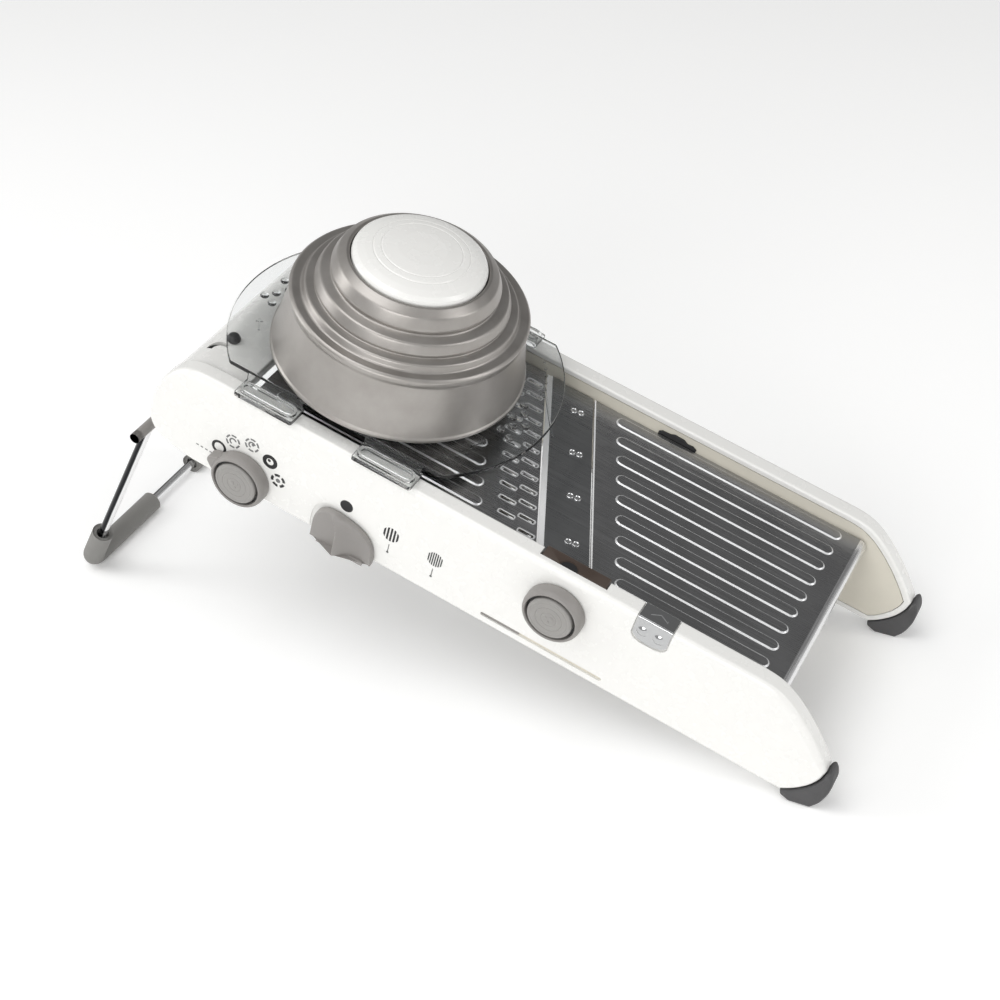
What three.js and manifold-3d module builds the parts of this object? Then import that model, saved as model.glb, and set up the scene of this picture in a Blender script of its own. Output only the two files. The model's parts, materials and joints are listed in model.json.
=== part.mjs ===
// Adjustable mandoline slicer on a folding wire stand.
// Millimetres. The body is designed level, in "deck" coordinates: x runs from the raised rear end to the
// front feet, y across, z square to the deck with the deck surface at z = 0. The whole product is then
// tilted by TILT about y, as it stands on its wire stand, and shifted so that the origin is at the bottom
// centre of its bounding box.
import * as THREE from 'three';
import * as BufferGeometryUtils from 'three/addons/utils/BufferGeometryUtils.js';
import Module from 'manifold-3d';

const wasm = await Module();
wasm.setup();

// ---------- driving dimensions ----------
const TILT = 18.54 * Math.PI / 180;     // body slope on its stand
const HALF_W = 70.5;                    // outer face of each side wall
const WALL_IN = 60.0;                   // inner edge of the crown
const CROWN = 9.8;                      // crown height above the deck
const BOTTOM = -49.0;                   // lower edge of the side walls
const SLANT = 0.465;                    // blade slant: dx per -dy
const EDGE_X = 185.4;                   // blade cutting edge at y = 0
const BLADE_R = 213.4;                  // rear edge of the blade plate at y = 0
const DECK_END = 345.3;                 // rolled front end of the landing deck
const THICK_X = 58.8, THICK_Z = -39.5;  // thickness dial axis
const LOCK_X = 232.7, LOCK_Z = -13.3;   // blade lock axis
const KNOB_R = 15.4;
const PUSH_X = 97.1;                    // axis of the food holder at rest
const RAMP_PIVOT = [34, -6.5];
const DECK_PIVOT = [338, -5.6];
const STAND_PIVOT = [-7, -57];
const STAND_FOOT = [-36, -183.15];
const STAND_Y = 57;
const WIRE_R = 2.5, SLEEVE_R = 6;
const GAP = 0.35;

// ---------- helpers ----------
const V = (x, y, z) => new THREE.Vector3(x, y, z);

function solid(geometry) {
  const g = geometry.clone();
  for (const name of Object.keys(g.attributes)) if (name !== 'position') g.deleteAttribute(name);
  const m = BufferGeometryUtils.mergeVertices(g, 1e-4);
  return new wasm.Manifold(new wasm.Mesh({
    numProp: 3,
    vertProperties: new Float32Array(m.attributes.position.array),
    triVerts: new Uint32Array(m.index.array),
  }));
}

function geometryOf(manifold) {
  const mesh = manifold.getMesh();
  const g = new THREE.BufferGeometry();
  const n = mesh.vertProperties.length / mesh.numProp;
  const p = new Float32Array(n * 3);
  for (let i = 0; i < n; i++) for (let k = 0; k < 3; k++) p[3 * i + k] = mesh.vertProperties[mesh.numProp * i + k];
  g.setAttribute('position', new THREE.BufferAttribute(p, 3));
  g.setIndex(new THREE.BufferAttribute(new Uint32Array(mesh.triVerts), 1));
  g.computeVertexNormals();
  return g;
}

function box(x0, x1, y0, y1, z0, z1) {
  const g = new THREE.BoxGeometry(x1 - x0, y1 - y0, z1 - z0);
  g.translate((x0 + x1) / 2, (y0 + y1) / 2, (z0 + z1) / 2);
  return solid(g);
}

function shapeOf(points) {
  const s = new THREE.Shape();
  points.forEach(([a, b], i) => (i ? s.lineTo(a, b) : s.moveTo(a, b)));
  s.closePath();
  return s;
}

// prism of an x-z outline, from y0 to y1, with an optional rounded edge
function prismXZ(points, y0, y1, bevel = 0, segments = 2) {
  const depth = y1 - y0 - 2 * bevel;
  const g = new THREE.ExtrudeGeometry(shapeOf(points), {
    depth, bevelEnabled: bevel > 0, bevelThickness: bevel, bevelSize: bevel, bevelOffset: -bevel,
    bevelSegments: segments, curveSegments: 6, steps: 1,
  });
  g.translate(0, 0, bevel);
  // the outline's second axis becomes z, and the extrusion runs along -y
  g.applyMatrix4(new THREE.Matrix4().makeRotationX(Math.PI / 2));
  g.translate(0, y1, 0);
  return solid(g);
}

// prism of an x-y outline, from z0 to z1
function prismXY(points, z0, z1) {
  const g = new THREE.ExtrudeGeometry(shapeOf(points), { depth: z1 - z0, bevelEnabled: false });
  g.translate(0, 0, z0);
  return solid(g);
}

function cylY(x, z, r, y0, y1, segments = 20) {
  const g = new THREE.CylinderGeometry(r, r, y1 - y0, segments);
  g.translate(x, (y0 + y1) / 2, z);
  return solid(g);
}

function cylZ(x, y, r, z0, z1, segments = 24) {
  const g = new THREE.CylinderGeometry(r, r, z1 - z0, segments);
  g.rotateX(Math.PI / 2);
  g.translate(x, y, (z0 + z1) / 2);
  return solid(g);
}

// solid of revolution about z at (x, y); profile of [radius, z], starting and ending on the axis or closing on itself
function latheZ(profile, x, y, segments = 48) {
  const pts = profile.map(([r, z]) => new THREE.Vector2(r, z));
  if (profile[0][0] > 0) pts.push(pts[0].clone());
  const g = new THREE.LatheGeometry(pts, segments);
  g.rotateX(Math.PI / 2);
  g.translate(x, y, 0);
  return fixed(g);
}

// solid of revolution about an axis along y at (x, z); profile of [radius, y]
function latheY(profile, x, z, segments = 32) {
  const pts = profile.map(([r, y]) => new THREE.Vector2(r, y));
  if (profile[0][0] > 0) pts.push(pts[0].clone());
  const g = new THREE.LatheGeometry(pts, segments);
  g.translate(x, 0, z);
  return fixed(g);
}

// turns a closed mesh inside out where its volume comes out negative
function fixed(geometry) {
  const g = geometry.clone();
  for (const name of Object.keys(g.attributes)) if (name !== 'position') g.deleteAttribute(name);
  const m = BufferGeometryUtils.mergeVertices(g, 1e-4);
  const p = m.attributes.position.array, t = Array.from(m.index.array);
  const keep = [];
  let volume = 0;
  for (let i = 0; i < t.length; i += 3) {
    const [a, b, c] = [t[i], t[i + 1], t[i + 2]];
    if (a === b || b === c || a === c) continue;
    keep.push(a, b, c);
    const A = V(p[3 * a], p[3 * a + 1], p[3 * a + 2]), B = V(p[3 * b], p[3 * b + 1], p[3 * b + 2]), C = V(p[3 * c], p[3 * c + 1], p[3 * c + 2]);
    volume += A.dot(B.cross(C)) / 6;
  }
  if (volume < 0) for (let i = 0; i < keep.length; i += 3) [keep[i], keep[i + 1]] = [keep[i + 1], keep[i]];
  return new wasm.Manifold(new wasm.Mesh({ numProp: 3, vertProperties: new Float32Array(p), triVerts: new Uint32Array(keep) }));
}

const shear = (manifold) => manifold.transform([1, 0, 0, 0, -SLANT, 1, 0, 0, 0, 0, 1, 0, 0, 0, 0, 1]);

// rounds the corners of a polyline in space
function rounded(points, radius, n = 5) {
  const out = [points[0].clone()];
  for (let i = 1; i < points.length - 1; i++) {
    const p = points[i], a = points[i - 1].clone().sub(p).normalize(), b = points[i + 1].clone().sub(p).normalize();
    const half = Math.acos(THREE.MathUtils.clamp(a.dot(b), -1, 1)) / 2;
    const d = radius / Math.tan(half);
    const centre = p.clone().add(a.clone().add(b).normalize().multiplyScalar(radius / Math.sin(half)));
    const s = p.clone().add(a.clone().multiplyScalar(d)).sub(centre), e = p.clone().add(b.clone().multiplyScalar(d)).sub(centre);
    const ang = s.angleTo(e);
    for (let k = 0; k <= n; k++) {
      const t = k / n;
      out.push(s.clone().multiplyScalar(Math.sin((1 - t) * ang) / Math.sin(ang)).add(e.clone().multiplyScalar(Math.sin(t * ang) / Math.sin(ang))).add(centre));
    }
  }
  out.push(points[points.length - 1].clone());
  return out;
}

// a curve that runs through given points in straight steps, one step of ExtrudeGeometry for each
class Polyline extends THREE.Curve {
  constructor(points) { super(); this.points = points; }
  getPoint(t, target = new THREE.Vector3()) {
    const n = this.points.length - 1, f = Math.min(n - 1e-9, Math.max(0, t * n)), i = Math.floor(f);
    return target.copy(this.points[i]).lerp(this.points[i + 1], f - i);
  }
  getPointAt(t, target) { return this.getPoint(t, target); }
  getTangent(t, target = new THREE.Vector3()) {
    const n = this.points.length - 1, i = Math.round(t * n);
    const a = this.points[Math.max(0, i - 1)], b = this.points[i], c = this.points[Math.min(n, i + 1)];
    const u = b.clone().sub(a), w = c.clone().sub(b);
    if (u.length() > 0) u.normalize();
    if (w.length() > 0) w.normalize();
    return target.copy(u.add(w)).normalize();
  }
  getTangentAt(t, target) { return this.getTangent(t, target); }
}

function sweep(points, r, sides = 8) {
  const ring = [];
  for (let k = 0; k < sides; k++) ring.push([r * Math.cos(2 * Math.PI * k / sides), r * Math.sin(2 * Math.PI * k / sides)]);
  const g = new THREE.ExtrudeGeometry(shapeOf(ring), { steps: points.length - 1, bevelEnabled: false, extrudePath: new Polyline(points) });
  return fixed(g);
}

function inset(points, d) {
  let area = 0;
  points.forEach(([x, y], i) => { const [a, b] = points[(i + 1) % points.length]; area += x * b - a * y; });
  const s = area > 0 ? 1 : -1, n = points.length;
  return points.map((p, i) => {
    const a = points[(i + n - 1) % n], b = points[(i + 1) % n];
    const u = [p[0] - a[0], p[1] - a[1]], v = [b[0] - p[0], b[1] - p[1]];
    const lu = Math.hypot(...u), lv = Math.hypot(...v);
    const nu = [-u[1] / lu * s, u[0] / lu * s], nv = [-v[1] / lv * s, v[0] / lv * s];
    const m = [nu[0] + nv[0], nu[1] + nv[1]], q = m[0] * m[0] + m[1] * m[1];
    return [p[0] + 2 * d * m[0] / q, p[1] + 2 * d * m[1] / q];
  });
}

function capsule(x0, x1, y, r, n = 4) {
  const out = [];
  for (let k = 0; k <= n; k++) { const a = -Math.PI / 2 + Math.PI * k / n; out.push([x1 - r + r * Math.cos(a), y + r * Math.sin(a)]); }
  for (let k = 0; k <= n; k++) { const a = Math.PI / 2 + Math.PI * k / n; out.push([x0 + r + r * Math.cos(a), y + r * Math.sin(a)]); }
  return out;
}

const edge = (y) => EDGE_X - SLANT * y;
const right = (y) => BLADE_R - SLANT * y;
const mirrorY = (manifold) => manifold.mirror([0, 1, 0]);

// ---------- materials ----------
const material = (color, roughness, metalness, extra = {}) => new THREE.MeshStandardMaterial({ color, roughness, metalness, ...extra });
const WHITE = material(0xf3f2ec, 0.32, 0.0);
const CREAM = material(0xe9e2d2, 0.42, 0.0);
const GREY = material(0x8c8884, 0.45, 0.0);
const BELL = material(0x96928d, 0.38, 0.55);
const RUBBER = material(0x58585a, 0.8, 0.0);
const SLEEVE = material(0x7d7a76, 0.7, 0.0);
const STEEL = material(0x6f7173, 0.35, 1.0);
const BRIGHT = material(0xd8dadc, 0.18, 1.0);
const CHROME = material(0xe4e6e8, 0.08, 1.0);
const CLEAR = material(0xe9eeee, 0.08, 0.0, { transparent: true, opacity: 0.35 });
const BLACK = material(0x2a2a2b, 0.55, 0.0);
const ZINC = material(0xb4b6b8, 0.35, 1.0);

const body = new THREE.Group();
const names = new Set();
function add(name, manifold, mat) {
  if (names.has(name)) throw new Error('twice: ' + name);
  names.add(name);
  const mesh = new THREE.Mesh(geometryOf(manifold), mat);
  mesh.name = name;
  body.add(mesh);
}

// ---------- side walls ----------
const WALL = [
  [27, BOTTOM], [12, -46.5], [4, -42], [0.6, -36], [0, -29], [0.9, -20], [3, -11.5], [6.5, -4], [11, 2.4], [16.5, 6.8], [24, 9.1],
  [36, CROWN], [334, CROWN], [342, 8.6], [350, 4.6], [358, -1.5], [366, -9], [373, -16.8], [378.4, -24],
  [377.7, -29.7], [375.1, -36.3], [371.6, -41.3], [368, -45.4], [363.6, BOTTOM],
];
const POCKET = inset(WALL.slice(), 3.4), LINER = inset(WALL.slice(), 3.8);
const FOOT = [
  [378.9, -24.6], [378.2, -30], [375.5, -36.6], [372.0, -41.7], [368.3, -46.0], [363.6, -49.5],
  [364.5, -52], [369.5, -53.5], [379.8, -50.05], [382.8, -44.5], [384.3, -36], [384, -29], [382.2, -24.8], [380.2, -22.6],
];

function shell() {                         // near side: y from -HALF_W to -WALL_IN, hollow, open to the inside
  return prismXZ(WALL, -HALF_W, -WALL_IN, 2.6, 2).subtract(prismXZ(POCKET, -67.3, -58.5));
}
function liner() {
  return prismXZ(LINER, -62.6, -60.3);
}
const REAR_ROD = [14, -34];
const boreOut = (x, z, r) => cylY(x, z, r, -72, -58);
const screwSpots = [[225.8, -12.2], [23.4, -0.6]];               // near side, x and z
const screwSpotsFar = [[176, -12.2], [23.4, -0.6]];

let shellNear = shell();
shellNear = shellNear
  .subtract(cylY(THICK_X, THICK_Z, 4.2, -72, -66))
  .subtract(cylY(LOCK_X, LOCK_Z, 4.2, -72, -66))
  .subtract(box(104.5, 187, -66.9, -62.9, -51, -44))                         // selector slot, through the lower rim
  .subtract(prismXZ(capsule(197.8, 265.3, -42.9, 1.25), -72, -66))           // index slot
  .subtract(box(215.3, 251.2, -66.0, -59, 6.1, 12))                          // notch for the carrier's end bar
  .subtract(box(269.2, 289.8, -72, -59, 8.5, 12))                            // seat of the lift tab
  .subtract(box(269.2, 289.8, -72, -69.2, -5.6, 12))
  .subtract(box(272.0, 286.6, -72, -69.2, -7.6, -5.5));
let linerNear = liner()
  .subtract(cylY(THICK_X, THICK_Z, 3.4, -66, -58))
  .subtract(cylY(...DECK_PIVOT, 2.8, -66, -58, 12))
  .subtract(cylY(300, -38, 3.4, -66, -58, 12))
  .subtract(cylY(...RAMP_PIVOT, 2.4, -66, -58, 12));
for (const [x, z] of screwSpots) linerNear = linerNear.subtract(cylY(x, z, 1.9, -66, -58, 10));
const shellFar = mirrorY(shell());
let linerFar = mirrorY(liner())
  .subtract(cylY(THICK_X, THICK_Z, 3.4, 58, 66))
  .subtract(cylY(...DECK_PIVOT, 2.8, 58, 66, 12))
  .subtract(cylY(300, -38, 3.4, 58, 66, 12))
  .subtract(cylY(...RAMP_PIVOT, 2.4, 58, 66, 12));
for (const [x, z] of screwSpotsFar) linerFar = linerFar.subtract(cylY(x, z, 1.9, 58, 66, 10));
add('side_shell_near', shellNear, WHITE);
add('side_shell_far', shellFar, WHITE);
add('inner_liner_near', linerNear, CREAM);
add('inner_liner_far', linerFar, CREAM);

const foot = prismXZ(FOOT, -HALF_W, -WALL_IN, 1.0, 1);
add('front_foot_near', foot, RUBBER);
add('front_foot_far', mirrorY(foot), RUBBER);

// ---------- cross members ----------
const BRIDGE = [
  [1.6, -24], [2.3, -17], [4.6, -9.5], [8, -2.7], [12.5, 3.0], [18, 6.7], [24, 7.6], [47, 7.6], [47, 1.4], [44, 1.4], [44, 4.6],
  [24.6, 4.6], [19.6, 4.0], [15, 1.0], [10.8, -4.2], [7.6, -10.6], [5.4, -18], [4.7, -24],
];
let bridge = prismXZ(BRIDGE, -59.9, 59.9)
  .add(box(18.4, 28.4, -59.9, -50, -4.5, 5)).add(box(18.4, 28.4, 50, 59.9, -4.5, 5))
  .subtract(cylY(23.4, -0.6, 1.6, -60.5, -51, 10)).subtract(cylY(23.4, -0.6, 1.6, 51, 60.5, 10));
const crescent = [];
for (let k = 0; k <= 8; k++) { const a = Math.PI * (0.30 + 0.78 * k / 8); crescent.push([21.5 + 6 * Math.cos(a), -46.5 + 6 * Math.sin(a)]); }
for (let k = 8; k >= 0; k--) { const a = Math.PI * (0.34 + 0.70 * k / 8); crescent.push([22.7 + 4.2 * Math.cos(a), -47.4 + 4.2 * Math.sin(a)]); }
bridge = bridge.subtract(prismXY(crescent, 3, 9));
add('rear_bridge', bridge, WHITE);
add('guard_stop_bumper', latheZ([[0, 7.95], [3.2, 7.95], [3.2, 10], [2, 11.4], [0, 11.8]], 24.5, -38, 16), BLACK);

const bed = shear(box(EDGE_X + 10, BLADE_R - 2, -59.9, 59.9, -17, -7.7));
let bladeBed = bed;
for (const [x, z] of screwSpots.slice(0, 1)) bladeBed = bladeBed.subtract(cylY(x, z, 1.6, -60.5, -51, 10));
for (const [x, z] of screwSpotsFar.slice(0, 1)) bladeBed = bladeBed.subtract(cylY(x, z, 1.6, 51, 60.5, 10));
add('blade_bed', bladeBed, GREY);
add('front_tie_rod', cylY(300, -38, 3, -66.8, 66.8, 12), ZINC);

function screw(x, z, side) {
  let s = cylY(x, z, 3, -65.6, -62.95, 12).add(cylY(x, z, 1.25, -63, -52, 10));
  return side > 0 ? mirrorY(s) : s;
}
add('bed_screw_near', screw(...screwSpots[0], -1), ZINC);
add('bed_screw_far', screw(...screwSpotsFar[0], 1), ZINC);
add('bridge_screw_near', screw(...screwSpots[1], -1), ZINC);
add('bridge_screw_far', screw(...screwSpotsFar[1], 1), ZINC);

// ---------- blade ----------
function sheared(section) {                 // x-z section swept across the body, slanted like the blade
  return shear(prismXZ(section, -59.2, 59.2));
}
add('blade', sheared([[EDGE_X, -1.0], [EDGE_X + 3.3, -0.15], [BLADE_R, -0.15], [BLADE_R, -1.15], [EDGE_X + 0.2, -1.15]]).subtract(box(205, 256, -60, -57.55, -3, 1)), STEEL);
let carrier = shear(box(EDGE_X + 4, BLADE_R, -58.9, 58.9, -7.3, -1.5));
carrier = carrier
  .add(box(217, 249.5, -59.9, -57.9, -7.3, 9.0).subtract(box(212, 256, -57.95, -50, -9, 10)))
  .add(box(216, 250.5, -65.4, -57.9, 6.5, 9.0));
const riserCut = shear(box(EDGE_X - 20, EDGE_X + 3.6, -75, -57.5, -9, -0.9)).add(shear(box(BLADE_R + 0.2, BLADE_R + 40, -75, -57.5, -9, 0.6)));
carrier = carrier.subtract(riserCut);
add('blade_carrier', carrier, BLACK);
[-40.45, -12.15, 16.15, 44.45].forEach((y, i) => {
  [-2.35, 2.35].forEach((dx, k) => {
    add(`blade_rivet_${i + 1}${'ab'[k]}`, latheZ([[0, 0.15], [2.0, 0.15], [1.7, 0.6], [1.0, 0.95], [0, 1.1]], 203.9 - 0.46 * y + dx, y, 10), BRIGHT);
  });
});

// ---------- ramp ----------
const RAMP_X0 = 49;
let ramp = prismXY([[RAMP_X0, -59.2], [edge(-59.2) - 0.9, -59.2], [edge(59.2) - 0.9, 59.2], [RAMP_X0, 59.2]], -1.2, 0);
for (let k = -4; k <= 4; k++) {
  const y = 2 + 12.1 * k;
  ramp = ramp.add(prismXY(capsule(58, edge(y) - 31.7, y, 3.2, 3), -0.4, 0.7));
}
const rightSlots = [], leftSlots = [];
for (let k = 0; k < 12; k++) rightSlots.push(-49.65 + 8.87 * k);
for (let k = 0; k < 11; k++) leftSlots.push(-44.5 + 8.87 * k);
const slotCut = (x, y) => box(x - 4.15, x + 4.15, y - 0.95, y + 0.95, -3, 2);
for (const y of rightSlots) ramp = ramp.subtract(slotCut(edge(y) - 6.8, y));
for (const y of leftSlots) ramp = ramp.subtract(slotCut(edge(y) - 18.0, y));
add('ramp_plate', ramp, STEEL);

let frame = box(33, 150, -58.6, -56.4, -14, -1.6).add(box(33, 150, 56.4, 58.6, -14, -1.6))
  .add(box(50, 56, -57, 57, -8, -1.6))
  .add(box(100, 105, -57, 57, -8, -1.6))
  .add(shear(box(EDGE_X - 29, EDGE_X - 24.5, -58.6, 58.6, -8, -1.6)))
  .add(shear(box(EDGE_X - 2.8, EDGE_X - 1.2, -58.6, 58.6, -6, -1.6)))
  .add(prismXY([[145, -58.6], [edge(-57.5) - 1.4, -58.6], [edge(-57.5) - 1.4, -56.4], [145, -56.4]], -8, -1.6))
  .add(prismXY([[145, 56.4], [edge(57.5) - 1.4, 56.4], [edge(57.5) - 1.4, 58.6], [145, 58.6]], -8, -1.6))
  .add(box(50, 68, -54, -46, -28.0, -1.6)).add(box(50, 68, 46, 54, -28.0, -1.6))
  .add(cylY(...RAMP_PIVOT, 4.4, -58.6, -50, 16)).add(cylY(...RAMP_PIVOT, 4.4, 50, 58.6, 16))
  .add(box(RAMP_PIVOT[0], 52, -58.6, -50, -9, -3)).add(box(RAMP_PIVOT[0], 52, 50, 58.6, -9, -3))
  .subtract(cylY(...RAMP_PIVOT, 2.35, -60, 60, 16));
add('ramp_frame', frame, BLACK);
add('ramp_pivot_rod', cylY(...RAMP_PIVOT, 2.0, -66.5, 66.5, 12), ZINC);

// ---------- julienne combs ----------
function comb(offset, ys) {
  let c = shear(box(EDGE_X - offset - 2.4, EDGE_X - offset + 2.4, -53, 53, -12.6, -9.6));
  for (const y of ys) {
    const x = edge(y) - offset;
    c = c.add(prismXZ([[x - 3.6, -10.5], [x - 3.6, -3.5], [x + 2.4, -3.5], [x + 3.6, -6.0], [x + 3.6, -10.5]], y - 0.45, y + 0.45));
  }
  return c;
}
add('julienne_comb_fine', comb(6.8, rightSlots), BRIGHT);
add('julienne_comb_coarse', comb(18.0, leftSlots), BRIGHT);

// ---------- landing deck ----------
let deck = prismXY([[right(-58.9) + 0.7, -58.9], [341, -58.9], [341, 58.9], [right(58.9) + 0.7, 58.9]], -1.2, 0)
  .add(prismXZ([[339, -1.2], [339, 0], [341.8, 0], [344, -0.9], [DECK_END, -3], [DECK_END, -8.6], [344.1, -8.6], [344.1, -3.3], [343.2, -1.9], [341.6, -1.2]], -58.9, 58.9));
for (let k = -4; k <= 4; k++) {
  const y = 2 + 12.78 * k;
  deck = deck.add(prismXY(capsule(right(y) + 14.4, 331.9, y, 3.3, 3), -0.4, 0.7));
}
for (const y of [-54, 54]) {
  deck = deck.add(box(333.5, 342.5, y - 2, y + 2, -9.6, -0.8)).subtract(cylY(...DECK_PIVOT, 2.75, y - 3, y + 3, 14));
}
deck = deck.subtract(box(230, 251.2, -60, -57.4, -3, 1));
add('landing_deck', deck, STEEL);
add('deck_pivot_rod', cylY(...DECK_PIVOT, 2.35, -66.5, 66.5, 12), ZINC);
let tab = box(270, 287.8, -59.95, -59.2, -1.0, 9.75)
  .add(box(270, 287.8, -70.35, -59.2, 8.85, 9.75))
  .add(prismXZ([[270, 9.75], [270, -2.6], [271.6, -4.4], [274.4, -5.3], [283.4, -5.3], [286.2, -4.4], [287.8, -2.6], [287.8, 9.75]], -70.35, -69.55));
add('lift_tab', tab, CHROME);

// ---------- thickness dial ----------
const knobProfile = [[0, -70.95], [KNOB_R, -70.95], [KNOB_R, -76.2], [14.7, -77.7], [13.3, -78.5], [12.75, -78.1], [12.5, -74.2], [0, -74.2]];
const insertProfile = [[0, -74.5], [12.1, -74.5], [12.1, -78.1], [11.4, -78.8], [0, -79.0]];
function pointer(x, z, degrees) {
  const a = degrees * Math.PI / 180, c = Math.cos(a), s = Math.sin(a);
  return prismXZ([[13, -4.2], [17.2, -3.0], [19.6, -1.2], [19.6, 1.2], [17.2, 3.0], [13, 4.2]].map(([u, v]) => [x + u * c - v * s, z + u * s + v * c]), -76.0, -71.0);
}
add('thickness_dial', latheY(knobProfile, THICK_X, THICK_Z, 32).add(pointer(THICK_X, THICK_Z, 163)), GREY);
add('thickness_dial_face', latheY(insertProfile, THICK_X, THICK_Z, 32), GREY);
add('thickness_shaft', cylY(THICK_X, THICK_Z, 3, -70.6, 64.5, 16), ZINC);
const cam = (y0, y1) => cylY(THICK_X, THICK_Z + 1.6, 9, y0, y1, 28).subtract(cylY(THICK_X, THICK_Z, 3.3, y0 - 1, y1 + 1, 16));
add('thickness_cam_near', cam(-53, -47), BLACK);
add('thickness_cam_far', cam(47, 53), BLACK);

// ---------- blade lock ----------
add('lock_knob', latheY(knobProfile, LOCK_X, LOCK_Z, 32), GREY);
add('lock_knob_face', latheY(insertProfile, LOCK_X, LOCK_Z, 32), GREY);
add('lock_shaft', cylY(LOCK_X, LOCK_Z, 3, -70.6, -63.2, 16).add(box(LOCK_X - 3, LOCK_X + 3, -66.4, -63.2, LOCK_Z, LOCK_Z + 15)), ZINC);

// ---------- julienne selector ----------
const LEVER = [[101.8, -50.2], [101.8, -38], [103.2, -32.5], [107, -28.8], [112.5, -27.8], [118, -28.4], [126, -30.2], [132, -33.4], [135.8, -38.6], [137.2, -45], [137.2, -50.2]];
let lever = prismXZ(LEVER, -76.4, -70.95, 1.0, 1)
  .add(prismXZ([[110.5, -50.2], [113.5, -32.5], [117.2, -32.5], [119.6, -50.2]], -82.5, -76))
  .add(box(106, 133, -75, -63.6, -52.0, -49.5))                              // hook under the wall's lower rim
  .add(box(106, 133, -66.4, -63.4, -52.0, -44.6));
add('selector_lever', lever, GREY);
add('selector_slider', box(103, 133, -66.6, -63.2, -44.2, -30), BLACK);

// ---------- stand ----------
const P = STAND_PIVOT, F = STAND_FOOT;
const wirePoints = rounded([V(P[0], -66.2, P[1]), V(P[0], -STAND_Y, P[1]), V(F[0], -STAND_Y, F[1]), V(F[0], STAND_Y, F[1]), V(P[0], STAND_Y, P[1]), V(P[0], 66.2, P[1])], 5.0, 4);
add('stand_wire', sweep(wirePoints, WIRE_R, 8), CHROME);
const up = V(P[0] - F[0], 0, P[1] - F[1]).normalize();
function sleeve(side, alongBase) {
  const corner = V(F[0], side * STAND_Y, F[1]);
  const a = corner.clone().add(up.clone().multiplyScalar(27)), b = corner.clone().add(V(0, -side * alongBase, 0));
  const outer = sweep(rounded([a, corner, b], 6.4, 4), SLEEVE_R, 12);
  const far = corner.clone().add(up.clone().multiplyScalar(40)), end = corner.clone().add(V(0, -side * (alongBase + 12), 0));
  return outer.subtract(sweep(rounded([far, corner, end], 5.0, 4), WIRE_R + 0.45, 8));
}
add('stand_foot_near', sleeve(-1, 58), SLEEVE);
add('stand_foot_far', sleeve(1, 16), SLEEVE);
const LUG = [[-12, -57.5], [-10.6, -53], [-6, -48.2], [-1.2, -43.6], [3.2, -43.0], [11.4, -47.4], [14.6, -48.2], [11, -59], [6.5, -65.5], [1, -67.4], [-6, -65.8], [-10.6, -62.2]];
const lug = prismXZ(LUG, -66.0, -60.6, 0.8, 1).subtract(cylY(...P, 2.95, -70, -58, 14));
add('stand_bracket_near', lug, GREY);
add('stand_bracket_far', mirrorY(lug), GREY);

// ---------- guard carriage ----------
const X = PUSH_X;
let plate = cylZ(X, 0, 86, 17.0, 19.5, 64).intersect(box(X - 90, X + 90, -69.5, 69.5, 10, 30));
let guard = plate.add(cylZ(X, 0, 55.5, 10.0, 44, 48));
for (const sx of [-1, 1]) for (const sy of [-1, 1]) {
  const x0 = sx > 0 ? X + 17 : X - 50, x1 = sx > 0 ? X + 50 : X - 17;
  const y = (a, b) => (sy < 0 ? [-b, -a] : [a, b]);
  guard = guard.add(box(x0, x1, ...y(60.6, 72.3), 10.2, 19.5)).add(box(x0, x1, ...y(67.6, 72.3), 17, 21.0));
}
guard = guard.subtract(cylZ(X, 0, 53.2, 5, 50, 48));
add('guard_carriage', guard, CLEAR);

// ---------- food holder ----------
add('holder_bell', latheZ([
  [5, 75.8], [33.8, 75.8], [34.1, 79.0], [35.6, 79.0], [39.6, 76.2], [42.3, 70.2], [40.9, 67.6], [46.7, 66.2], [48.8, 61.2],
  [47.9, 59.5], [52.8, 58.9], [54.2, 55.3], [58.6, 55.6], [60.1, 54.3], [59.8, 52.2], [58.9, 49.8],
  [64.2, 22.4], [65.0, 21.6], [65.0, 19.95], [62.4, 19.95], [56.5, 49.8], [56.2, 52.6], [50.4, 53.4],
  [45.2, 57.0], [44.6, 63.6], [38.6, 64.4], [38.0, 71.2], [33.6, 73.2], [5, 73.2]], X, 0, 40), BELL);
add('holder_cap', latheZ([[0, 82], [8, 82], [8, 76.15], [33.2, 76.15], [33.3, 79.8], [31.6, 81.8], [24, 84.4], [12, 86.0], [0, 86.4]], X, 0, 36), WHITE);
add('guide_post', latheZ([[0, 30.8], [3.4, 30.8], [3.4, 72.8], [4.6, 72.8], [4.6, 76.2], [7, 76.2], [7, 79], [0, 79]], X, 0, 16), ZINC);
add('post_screw', latheZ([[0, 27.4], [5.4, 27.4], [5.4, 30.4], [0, 30.4]], X, 0, 16), ZINC);
let plunger = latheZ([[6.2, 15], [49, 15], [49, 17.6], [10, 17.6], [9, 36], [3.9, 36], [3.9, 31.0], [6.2, 31.0]], X, 0, 36);
for (const [r, n, off] of [[40, 8, 0], [24, 6, 0.5]]) for (let k = 0; k < n; k++) {
  const a = 2 * Math.PI * (k + off) / n;
  plunger = plunger.add(latheZ([[0, 8.6], [1.8, 15.6], [0, 15.6]], X + r * Math.cos(a), r * Math.sin(a), 8));
}
add('food_plunger', plunger, CLEAR);
const coil = [];
for (let k = 0; k <= 60; k++) { const t = k / 60, a = 2 * Math.PI * 6 * t; coil.push(V(X + 7.2 * Math.cos(a), 7.2 * Math.sin(a), 37.6 + 34.0 * t)); }
add('plunger_spring', sweep(coil, 0.9, 5), ZINC);

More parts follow.
